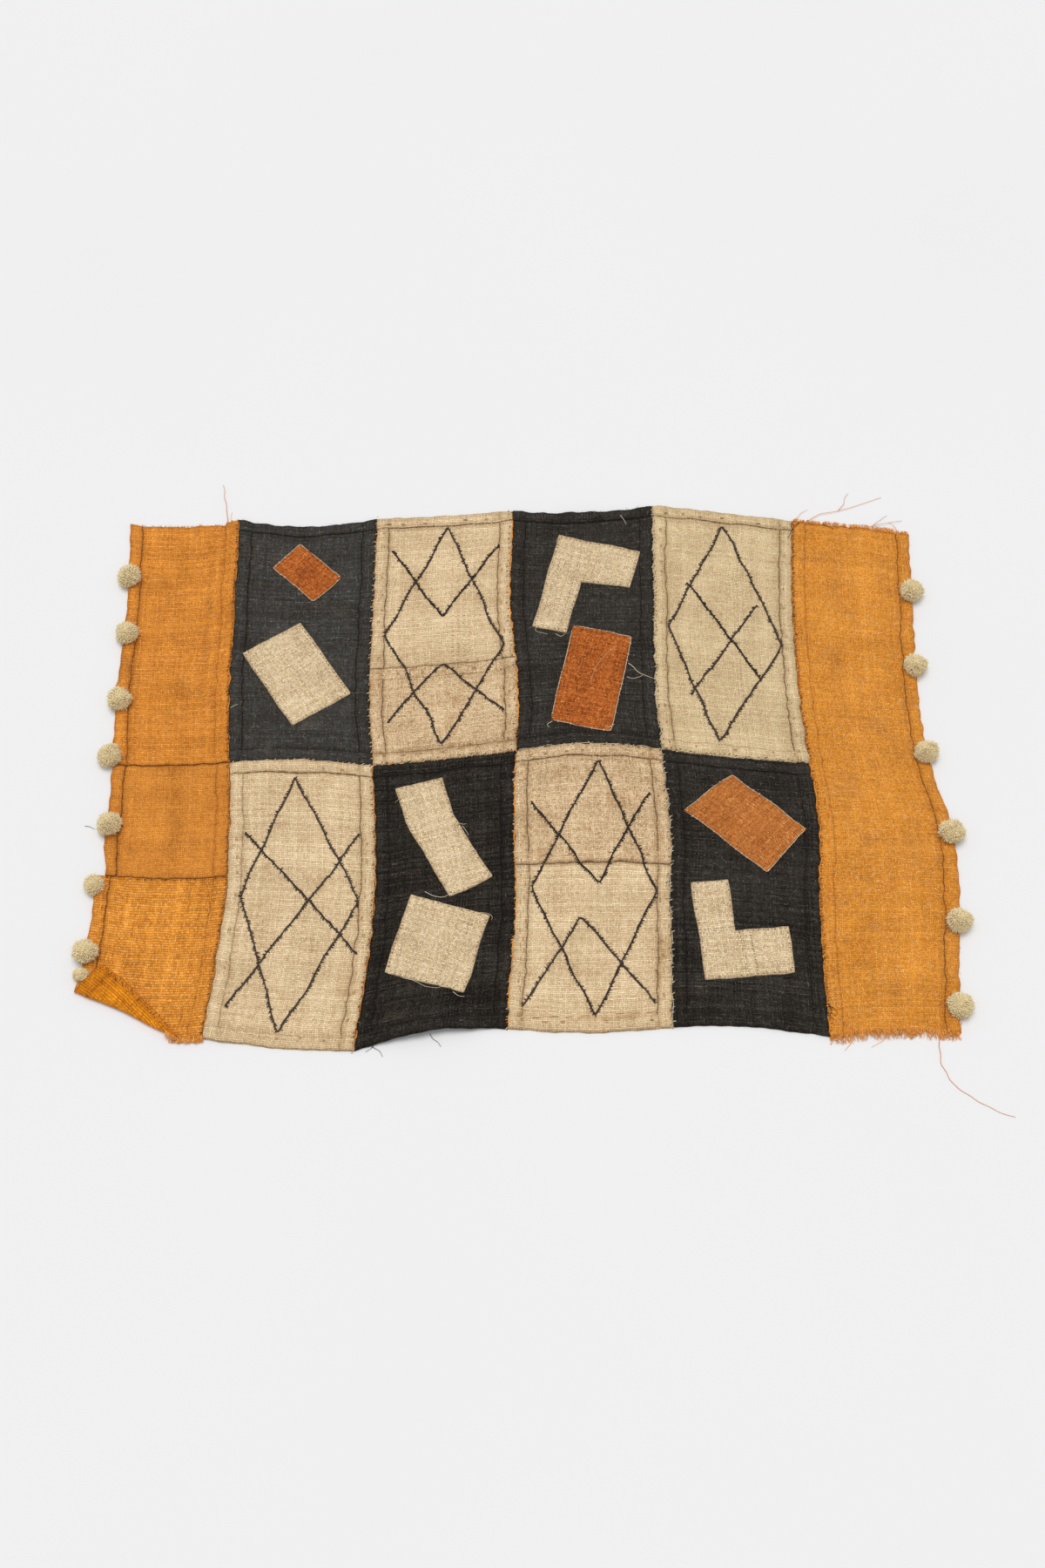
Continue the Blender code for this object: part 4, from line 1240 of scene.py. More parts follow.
# Darning: thread, start, end, pitch, a dash's length, radius and turn against the line in degrees. First
# comes the block of level rows on an upper cream piece, by their heights.
DARNED_ROWS = (150.5 - 3.7 * row for row in range(12))
DARNS = (
    *(("thread_tan", (-57, height), (-40, height), 4.4, 1.8, 0.2, 0) for height in DARNED_ROWS),
    ("thread_tan", (4, -191.5), (99, -186.5), 12.0, 8.6, 0.26, 2),
    ("thread_tan", (-2, -186), (-1, -60), 11.0, 5.0, 0.24, 6),
    ("thread_tan", (98, -180), (99, -30), 9.5, 3.6, 0.3, 12),
    ("thread_tan", (97, -178), (97.5, -120), 5.5, 2.0, 0.26, 60),
    ("thread_tan", (-110, -195), (-203, -190), 16.0, 4.0, 0.2, 3),
)

# Darning on the patches, in each one's own frame: thread, start, end, pitch, dash, radius, turn
PATCH_DARNS = {
    "patch_cream_angle_top": (
        ("thread_brown", (-27, 24), (-28, -40), 2.1, 0.9, 0.2, 0),
        ("thread_brown", (-22, 30), (-23, -40), 2.1, 0.9, 0.2, 0),
        ("thread_tan", (-18, 32), (-18, -40), 1.9, 0.8, 0.22, 0),
        ("thread_brown", (-12, 34), (-12, -38), 2.1, 0.9, 0.2, 0),
        ("thread_tan", (-4, 36), (-4, 6), 2.1, 0.9, 0.2, 0),
        ("thread_brown", (1, 36), (1, 6), 2.1, 0.9, 0.2, 0),
        ("thread_cream", (10, 38), (10, 10), 1.8, 1.2, 0.26, 0),
        ("thread_cream", (13, 38), (13, 10), 1.8, 1.2, 0.26, 0),
        ("thread_cream", (-15, 30), (-15, -38), 1.8, 1.2, 0.24, 0),
    ),
    "patch_cream_square": (
        ("thread_cream", (-24, 14), (24, 14), 1.7, 1.2, 0.24, 0),
        ("thread_cream", (-24, 10.5), (24, 10.5), 1.7, 1.2, 0.24, 0),
        ("thread_cream", (-12, 26), (-12, -26), 1.7, 1.2, 0.22, 0),
        ("thread_tan", (-24, -9), (24, -9), 2.4, 0.9, 0.18, 0),
        ("thread_tan", (9, 26), (9, -26), 2.4, 0.9, 0.18, 0),
    ),
    "patch_cream_bent": (
        ("thread_cream", (-7, 24), (-7, -6), 1.7, 1.2, 0.22, 0),
        ("thread_tan", (6, 24), (6, -8), 2.4, 0.9, 0.18, 0),
    ),
    "patch_cream_top_left": (
        ("thread_tan", (-20, 22), (-20, -22), 2.2, 0.9, 0.18, 0),
        ("thread_tan", (-34, 17), (30, 17), 2.2, 0.9, 0.18, 0),
        ("thread_cream", (12, 22), (12, -22), 1.8, 1.2, 0.22, 0),
    ),
    "patch_cream_angle_bottom": (
        ("thread_brown", (-30, 0), (-8, 0), 1.8, 0.8, 0.2, 0),
        ("thread_brown", (-30, 1.8), (-8, 1.8), 1.8, 0.8, 0.2, 0),
        ("thread_tan", (-30, 17), (28, 17), 2.2, 1, 0.2, 0),
        ("thread_brown", (-3, 4), (-3, 36), 2, 0.9, 0.2, 10),
        ("thread_brown", (-1, 4), (-1, 36), 2, 0.9, 0.2, 10),
        ("thread_brown", (4.5, 4), (6, 36), 2.1, 1.9, 0.24, 58),
    ),
}

# Loose ends on the cloth and beside it, by thread: radius and course
LOOSE_ENDS = {
    "thread_cream": (
        (0.3, ((82.5, 106), (86, 103.5), (89, 99), (93, 96), (97, 94), (102, 92))),
        (0.26, ((81, 93.5), (84, 92), (88, 92.5), (93.4, 95))),
        (0.16, ((74, 122), (65, 114), (57, 103), (54, 94), (52.7, 88))),
        (0.24, ((-228, 62), (-224, 66), (-219, 68))), (0.22, ((79, 246), (82, 243), (84, 238))),
        (0.22, ((12, 32), (13, 25), (10, 20))), (0.24, ((-90, -11), (-93.5, -7), (-96.5, -5))),
        (0.2, ((-90, -13), (-93.5, -14), (-96, -17))),
        (0.26, ((-49, -34), (-44.5, -35.5), (-41.5, -34.5))),
        (0.2, ((-45, -36.5), (-41.5, -41.5), (-40, -45.5))),
        (0.24, ((-72, -91), (-66, -94.5), (-58.5, -96), (-51, -92))),
        (0.26, ((-31, -108), (-24.5, -109), (-21.5, -111.5), (-23, -115))),
        (0.2, ((-87, -160), (-78, -162.5), (-70, -167), (-61, -168), (-55, -165.5))),
        (0.22, ((-50, -171), (-46, -174.5), (-41, -174.5))),
        (0.2, ((-94.5, -151), (-97.5, -154.5), (-94, -158))),
        (0.2, ((29.5, 226.5), (27, 222.5), (28.5, 218))),
        (0.22, ((12, 141.5), (9.5, 136), (14.5, 134.5), (20, 133))),
        (0.2, ((26, 133.5), (30.5, 130.5), (33.5, 134))), (0.24, ((23, 54), (18, 51), (21, 48.5))),
        (0.22, ((64, 48), (69, 49), (71, 52.5))),
        (0.24, ((50, 36), (55.5, 31), (62, 35), (69.5, 33.5), (77, 31), (85.5, 33))),
    ),
    "thread_brown": (
        (0.24, ((216, 229), (220, 237), (229, 242), (240, 239.5), (252, 234))),
        (0.22, ((214, 224), (217, 231), (224, 239), (228, 244))),
        (0.22, ((-328, -36), (-324, -36.5), (-320, -39))),
    ),
    "thread_black": (
        (0.26, ((-112, -207), (-107, -213), (-101, -216), (-99, -221))),
        (0.22, ((-104, -208), (-107, -214), (-112, -217))),
        (0.24, ((-66, -203), (-64, -207), (-60, -209), (-58, -213))),
        (0.34, ((214, -178), (219, -181), (222, -186), (219, -190), (223, -193))),
        (0.3, ((212, -182), (217, -184), (221, -182), (225, -187))),
        (0.28, ((215, -190), (220, -187), (224, -190))),
        (0.26, ((218, -12), (220, -16), (219, -20), (221.5, -24))),
    ),
}


DARN_RISE = 0.12
DARN_TAPER = (0.7, 1, 1, 1, 0.7)
LOOSE_STEP = 1.2
LOOSE_TIP = 0.6


def darn(tree, pile, start, end, pitch, dash, radius, turn):
    """A row of short dashes from one place to another."""
    start, end = np.array(start, float), np.array(end, float)
    length = float(np.linalg.norm(end - start))
    heading = (end - start) / length
    count = max(2, round(length / pitch))
    chance = pile.chance
    even = (np.arange(count)[:, None] + 0.5) * length / count
    middles = start + heading * (even + chance.normal(0, 0.25, (count, 1)))
    middles = middles + chance.normal(0, 0.15, (count, 2))
    way = np.array(turned(heading[0], heading[1], turn))
    halves = dash / 2 * chance.uniform(0.6, 1.2, (count, 1))
    keep = chance.uniform(0, 1, count) > 0.12
    starts, ends = (middles - way * halves)[keep], (middles + way * halves)[keep]
    pile.add(arches(tree, starts, ends, DARN_RISE), radius * np.array(DARN_TAPER))


def darn_all(tree, piles):
    """The darning on cloth and patches, and the loose ends."""
    for thread, *row in DARNS:
        darn(tree, piles[thread], *row)
    frames = {name: (name, x, y, turn) for name, _, x, y, turn, *_ in PATCHES}
    for patch, rows in PATCH_DARNS.items():
        for thread, start, end, *row in rows:
            ends = [patch_to_cloth(*frames[patch], *corner) for corner in (start, end)]
            darn(tree, piles[thread], *ends, *row)
    for thread, rows in LOOSE_ENDS.items():
        for radius, corners in rows:
            points = soften(spaced(corners, LOOSE_STEP)[0], 3)
            course = laid(tree, points[:, 0], points[:, 1], radius)
            course[:, 2] = soften(course[:, 2], 2)
            piles[thread].add(course, radius * np.linspace(1, LOOSE_TIP, len(course)), sides=5)


# Stray fibres at the edges of the pieces
FUZZ_PITCH = 3.0
FUZZ_LENGTH = 0.75
FUZZ_RADIUS = 0.1
FUZZ_LEAST = 0.25
FUZZ_ROOT = 0.7
FUZZ_LOWEST = 0.15
FUZZ_SHARES = (0, 0.55, 1)
FUZZ_TAPER = (1.2, 1, 0.6)
FUZZ_THREADS = {"orange": "thread_orange", "cream": "fibre_pale", "black": "fibre_black"}


def add_fuzz(tree, piles, number, name, column, start, end, turned_edges, cloth):
    """Short stray fibres that stand out from each side of a piece."""
    pile = piles[FUZZ_THREADS[cloth.split("_")[0]]]
    chance = pile.chance
    width, tall = panel_size(column, start, end)
    for side, way in (("left", (-1, 0)), ("right", (1, 0)), ("bottom", (0, -1)), ("top", (0, 1))):
        upright, way, sideways = side in ("left", "right"), np.array(way), np.array(way[::-1])
        count = round((tall if upright else width) / FUZZ_PITCH)
        along = chance.uniform(0, 1, count)
        u = np.full(count, float(side == "right")) if upright else along
        level = start + (end - start) * (along if upright else float(side == "top"))
        x, y = place(column, u, level)
        if side == "left":
            x = x + drawn_in(name, start, level)
        if name == TAB and side == "top":
            y = y - tab_dip(width * (1 - u))
        long = FUZZ_LENGTH * chance.exponential(0.6, (count, 1)) + FUZZ_LEAST
        heading = unit(way + chance.normal(0, 0.8, (count, 1)) * sideways)
        root = side_by_side(x, y) - way * FUZZ_ROOT
        bow = chance.normal(0, 0.25, (count, 1)) * long
        flat = root[:, None] + heading[:, None] * long[:, None] * np.array(FUZZ_SHARES)[None, :, None]
        flat[:, 1] += bow * sideways
        heights = laid(tree, root[:, 0], root[:, 1])[:, 2:] + chance.uniform(-0.1, 0.5, (count, 3))
        courses = np.concatenate([flat, np.maximum(heights, FUZZ_LOWEST)[..., None]], axis=2)
        pile.add(courses[unfolded(name, y)], FUZZ_RADIUS * np.array(FUZZ_TAPER), sides=3)


def patch_outline(number, name, x, y, turn, cross_lines, inward, step):
    """Points along a patch's wavering edge, drawn in from it, with their headings."""
    outline, area = outline_of(cross_lines)
    if area < 0:
        outline = outline[::-1]
    sides = unit(outline - np.roll(outline, 1, axis=0)), unit(np.roll(outline, -1, axis=0) - outline)
    before, after = (side_by_side(-side[:, 1], side[:, 0]) for side in sides)
    drawn = outline + (before + after) * inward / (1 + (before * after).sum(axis=1, keepdims=True))
    points, _ = spaced(drawn, step, closed=True)
    points = soften(points, max(1, round(3 / step)), closed=True)
    points = side_by_side(*patch_to_cloth(name, x, y, turn, points[:, 0], points[:, 1]))
    heading = unit(np.roll(points, -1, axis=0) - np.roll(points, 1, axis=0))
    mirrored = -1 if name == MIRRORED_PATCH else 1
    inward_way = side_by_side(-heading[:, 1], heading[:, 0]) * mirrored
    return points + side_by_side(*patch_waver(*points.T, number)), heading, inward_way


# Stitches round a patch, by kind: thread, pitch, distance from the edge, reach
PATCH_STITCHES = {"rust": ("thread_cream", 5.4, 0.3, 0.75), "cream": ("thread_brown", 4.0, 1.5, 0.38)}
PATCH_STITCH_RADII = (0.2, 0.28, 0.3, 0.28, 0.2)
PATCH_STITCH_RISE = 0.2
PATCH_STITCH_SLANT = 0.35
EDGING_STEP = 1.5
EDGING_RADIUS = 0.24
EDGING_RISE = 0.02
EDGING_DIVES = (0.2, 16, 600)


def sew_patch(tree, piles, number, name, panel, x, y, turn, cross_lines, cloth, threads_turn):
    """The stitches round a patch: a pale line with ticks on a rust one, dark dots on a cream one."""
    thread, pitch, inset, length = PATCH_STITCHES[cloth.split("_")[0]]
    patch_row = number, name, x, y, turn, cross_lines, inset
    chance = piles[thread].chance
    if cloth.startswith("rust"):
        edge, _, _ = patch_outline(*patch_row, EDGING_STEP)
        course = laid(tree, edge[:, 0], edge[:, 1])
        course = np.concatenate([course, course[:1]])
        run = np.arange(len(course)) * EDGING_STEP
        course[:, 2] = soften(course[:, 2], 3) + EDGING_RISE + strayed(run, EDGING_DIVES, number)
        piles[thread].add(course, EDGING_RADIUS, sides=5)
    points, heading, inward = patch_outline(*patch_row, pitch)
    count = len(points)
    points = points + heading * chance.normal(0, 0.6, (count, 1))
    reach = chance.uniform(0.5, 1.2, (count, 1)) * length
    starts, ends = points - inward * reach, points + inward * reach + heading * PATCH_STITCH_SLANT
    keep = chance.uniform(0, 1, count) > 0.15
    courses = arches(tree, starts[keep], ends[keep], PATCH_STITCH_RISE)
    piles[thread].add(courses, np.array(PATCH_STITCH_RADII))


def pompom_centre(seam, y, outside, height):
    """The middle of a pompom that sits on an outer edge of the cloth."""
    below = BOTTOM if y <= CORNER_HEIGHTS[MIDDLE][seam] else MIDDLE
    low, high = CORNER_HEIGHTS[below][seam], CORNER_HEIGHTS[below + 1][seam]
    further = float(seam_height(seam, below + (y - low) / (high - low) + POMPOM_EDGE_STEP))
    edge, upper = (
        np.array((float(smooth_curve(STATIONS, SEAMS[seam], float(at))), at)) for at in (y, further)
    )
    up = upper - edge
    outward = np.array((up[1], -up[0])) / np.linalg.norm(up) * (-1 if seam == LEFT_EDGE else 1)
    return np.array((*(edge + outward * outside), height))


def make_pompom(tree, number, seam, y, diameter, outside):
    """A ball of cut yarn ends round a core, flattened where it rests."""
    centre = pompom_centre(seam, y, outside, POMPOM_MIDDLE * diameter)
    size = np.array((diameter / 2, diameter / 2, POMPOM_HALF_HEIGHT * diameter))
    yarn = Threads(400 + number)
    chance = yarn.chance
    count = round(YARN_ENDS * (diameter / FULL_POMPOM) ** 2)
    turn = math.pi * (3 - math.sqrt(5)) * np.arange(count)
    rise = 1 - 2 * (np.arange(count) + 0.5) / count
    level = np.sqrt(1 - rise**2)
    way = side_by_side(level * np.cos(turn), level * np.sin(turn), rise)
    way = unit(way + chance.normal(0, YARN_SCATTER, (count, 3)))
    bend = chance.normal(0, YARN_BEND, (count, 3))
    east, north, up = way[:, :1], way[:, 1:2], way[:, 2:]
    clumps = ripples(east + 2 * up, north - up, 0.7, 450 + number)
    lumps = ripples(east - north, north + up, 2.2, 470 + number)
    lengths = YARN_REACH * chance.uniform(*YARN_CUT, (count, 1)) + YARN_CLUMP * np.clip(clumps, -1, 0.8)
    lengths += YARN_LUMPS * np.clip(lumps, -1, 0.7)
    lengths = np.maximum(lengths, YARN_CORE + YARN_OVER_CORE)
    ends = [way * share * lengths + bend * bow for share, bow in zip(YARN_SHARES, (0, 1))]
    courses = np.stack([centre + end * size for end in ends], axis=1)
    floor = laid(tree, courses[..., 0], courses[..., 1], 0.3)[..., 2]
    courses[..., 2] = np.maximum(courses[..., 2], floor + chance.uniform(0, 0.5, (count, 1)))
    radii = YARN_RADIUS * chance.uniform(0.8, 1.25, (count, 1)) * np.array(YARN_TAPER)
    yarn.add(courses, radii, sides=3)
    fluff = chance.integers(0, count, FLUFF_ENDS)
    reach = chance.uniform(*FLUFF_REACH, (FLUFF_ENDS, 1))
    stray = chance.normal(0, FLUFF_BEND, (FLUFF_ENDS, 3))
    ends = [way[fluff] * reach * share + stray * bow for share, bow in zip(FLUFF_SHARES, FLUFF_BENDS)]
    wisps = np.stack([centre + end * size for end in ends], axis=1)
    wisps[..., 2] = np.maximum(wisps[..., 2], 0.4)
    yarn.add(wisps, FLUFF_RADIUS * np.array(FUZZ_TAPER), sides=3)
    heights = np.linspace(-CORE_TOP, CORE_TOP, CORE_RINGS)
    pole = centre + side_by_side(0 * heights, 0 * heights, heights * size[2] * YARN_CORE)
    yarn.add(pole, np.sqrt(1 - heights**2) * size[0] * YARN_CORE, sides=CORE_SIDES)
    core = yarn.points[-1]
    core[:, 2] = np.maximum(core[:, 2], 0.3)
    yarn.along[-1][:] = CORE_SHADE
    name = f"pompom_{number:02d}"
    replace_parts(yarn.build(name + "_yarn", "pompom_yarn"), name)


# Where the left lower end's curls climb over the tip of the folded corner: x, reach, rise in y and height
TIP_END = -243.0
TIP_REACH = 13.0
TIP_RISE = 6.5
TIP_HEIGHT = 3.0

# A fibre's places as shares of its length, with its height, curl and thickness there
FIBRE_SHARES = (-0.35, 0.0, 0.4, 0.75, 1.0)
FIBRE_HEIGHTS = (1.2, 1.3, 1.0, 0.7, 0.45)
FIBRE_CURL = (0, 0, 0.6, 1, 0.2)
FIBRE_TAPER = (1, 1, 0.9, 0.75, 0.35)
FIBRE_RADII = (0.14, 0.3)
CLUMP_LENGTH = 14
LEAN_LENGTH = 9
CURL_TURNS = (-0.4, 1.35)
CURL_POINTS = 8
CURL_RADII = (0.2, 0.42)
CURL_HEIGHT = 1.3
STRAND_STEP = 2.0
STRAND_STRAY = (0.5, 14, 530)
STRAND_TIP = 0.55


def add_curls(fibres, name, column, line, start, end):
    """Small curled fibres of a raw end."""
    chance, loops, outward = fibres.chance, CURLS.get(name, 0), 1 if line == TOP else -1
    if not loops:
        return
    x, y = place(column, chance.uniform(start, end, loops), np.full(loops, float(line)))
    over_tip = np.clip((TIP_END - x) / TIP_REACH, 0, 1) * (name == "fray_left_bottom")
    y = y + TIP_RISE * over_tip
    turn = np.linspace(*CURL_TURNS, CURL_POINTS) * math.pi
    size = chance.uniform(0.7, 1.5, (loops, 1))
    lying = chance.uniform(0.2, 1.0, (loops, 1))
    side = chance.choice((-1.0, 1.0), (loops, 1))
    out = chance.uniform(-1.2, 1.6, (loops, 1))
    stray = chance.normal(0, 0.4, (loops, 1))
    height = CURL_HEIGHT + size * (1 - lying) * np.cos(turn) + chance.uniform(0, 1.2, (loops, 1))
    curls = side_by_side(
        x[:, None] + side * size * np.cos(turn) * lying + stray,
        y[:, None] + outward * (out + size * np.sin(turn)),
        np.maximum(height + TIP_HEIGHT * over_tip[:, None], 0.4),
    )
    fibres.add(curls, chance.uniform(*CURL_RADII, (loops, 1)) * np.ones(CURL_POINTS), sides=4)


def make_fray(number, name, column, line, start, end, count, longest):
    """The frayed fibres of a raw end, in uneven clumps, with its loose threads."""
    fibres = Threads(500 + number)
    chance = fibres.chance
    outward = 1 if line == TOP else -1
    u = np.sort(chance.uniform(start, end, count))
    x, y = place(column, u, np.full(count, float(line)))
    if name == "fray_left_top":
        y = y - tab_dip(seam_x(column + 1, line) - x)
    clump = 0.5 + 0.5 * ripples(x, 0.0, CLUMP_LENGTH, 510 + number)
    long = longest * np.clip(chance.uniform(0.35, 0.9, count) + 0.25 * clump, 0.25, 1.15)
    lean = long * chance.normal(0, 0.3, count) + 0.25 * long * ripples(x, 0.0, LEAN_LENGTH, 520 + number)
    shares = np.array(FIBRE_SHARES)
    curl = chance.normal(0, 0.12, (count, 1)) * long[:, None] * np.array(FIBRE_CURL)
    courses = side_by_side(
        x[:, None] + lean[:, None] * shares**2 + curl,
        y[:, None] + outward * long[:, None] * shares,
        np.array(FIBRE_HEIGHTS) * chance.uniform(0.6, 1.3, (count, 1)) + 0.1,
    )
    courses[..., 2] += lift_at(courses[..., 0], courses[..., 1])
    fibres.add(courses, chance.uniform(*FIBRE_RADII, (count, 1)) * np.array(FIBRE_TAPER), sides=4)
    add_curls(fibres, name, column, line, start, end)
    for radius, course in LOOSE_THREADS.get(name, ()):
        points = soften(spaced(course, STRAND_STEP)[0], 4)
        height, length, seed = STRAND_STRAY
        points[:, 0] += height * ripples(points[:, 1], points[:, 0], length, seed + number)
        fibres.add(points, radius * np.linspace(1, STRAND_TIP, len(points)), sides=5)
    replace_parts(fibres.build(name + "_fibres", "fibre_orange"), name)


# Materials

class Graph:
    """Nodes of one material, added step by step as a formula is read."""

    def __init__(self, name):
        self.material = bpy.data.materials.new(name)
        self.material.use_nodes = True
        self.nodes, self.links = self.material.node_tree.nodes, self.material.node_tree.links
        self.shader = self.nodes["Principled BSDF"]

    def feed(self, socket, value):
        if isinstance(value, bpy.types.NodeSocket):
            self.links.new(value, socket)
        else:
            socket.default_value = value

    def node(self, kind, inputs=None, **settings):
        node = self.nodes.new(kind)
        for key, value in settings.items():
            setattr(node, key, value)
        for key, value in (inputs or {}).items():
            self.feed(node.inputs[key], value)
        return node

    def math(self, operation, *values):
        node = self.node("ShaderNodeMath", operation=operation)
        for socket, value in zip(node.inputs, values):
            self.feed(socket, value)
        return node.outputs[0]

    def plus(self, first, second):
        return self.math("ADD", first, second)

    def less(self, first, second):
        return self.math("SUBTRACT", first, second)

    def times(self, first, second):
        return self.math("MULTIPLY", first, second)

    def times_plus(self, first, second, added):
        return self.math("MULTIPLY_ADD", first, second, added)

    def over(self, first, second):
        return self.math("DIVIDE", first, second)

    def mix(self, share, first, second, blend="MIX"):
        node = self.node("ShaderNodeMix", data_type="RGBA", blend_type=blend, clamp_factor=True)
        for socket, value in zip((node.inputs[0], node.inputs[6], node.inputs[7]), (share, first, second)):
            self.feed(socket, (*value, 1) if isinstance(value, tuple) and len(value) == 3 else value)
        return node.outputs[2]

    def vector(self, x, y, z=0.0):
        return self.node("ShaderNodeCombineXYZ", {0: x, 1: y, 2: z}).outputs[0]

    def noise(self, vector, scale=1.0, detail=2.0, roughness=0.5):
        inputs = {"Vector": vector, "Scale": scale, "Detail": detail, "Roughness": roughness}
        return self.node("ShaderNodeTexNoise", inputs, noise_dimensions="3D").outputs["Fac"]

    def random(self, value):
        return self.node("ShaderNodeTexWhiteNoise", {"W": value}, noise_dimensions="1D").outputs["Value"]

    def mark(self, name):
        return self.node("ShaderNodeAttribute", attribute_name=name).outputs["Fac"]

    def ramp(self, value, low, high):
        """0 at low and below, 1 at high and above, smooth between."""
        inputs = {"Value": value, 1: low, 2: high}
        return self.node("ShaderNodeMapRange", inputs, interpolation_type="SMOOTHSTEP").outputs["Result"]

    def finish(self, colour, height, distance, roughness, sheen):
        self.feed(self.shader.inputs["Base Color"], colour)
        bump = self.node("ShaderNodeBump", {"Height": height, "Distance": distance, "Strength": 1.0})
        self.feed(self.shader.inputs["Normal"], bump.outputs["Normal"])
        self.shader.inputs["Roughness"].default_value = roughness
        self.shader.inputs["Specular IOR Level"].default_value = 0.15
        self.shader.inputs["Sheen Weight"].default_value = sheen
        self.shader.inputs["Sheen Roughness"].default_value = 0.5
        return self.material


# The weave, in millimetres of cloth: how far threads drift and wobble, how long shades, fibres and slubs
# are, how much painted highlight the threads' round crowns carry (with painted shade down their sides), how
# much their fibres lighten them, and how green and blue fall faster than red in dark places. The bump is in
# metres.
DRIFT, DRIFT_SCALE = 2.4, 0.09
WOBBLE, WOBBLE_SCALE = 0.95, 0.6
SHADE_LENGTH = 14.0
FIBRE_LENGTH = 3.0
FINENESS = 4.5
SLUB_LENGTH = 5.5
THREAD_HIGHLIGHT = 0.36
FIBRE_LIGHT = 0.34
DARKEST = 0.1
WARM_POWERS = (1.2, 1.45)
UNDERSIDE_TINT = (0.88, 0.75, 0.17)
WEAVE_BUMP = 0.00036
WEAVE_ROUGHNESS = 0.75
WEAVE_SHEEN = 0.03


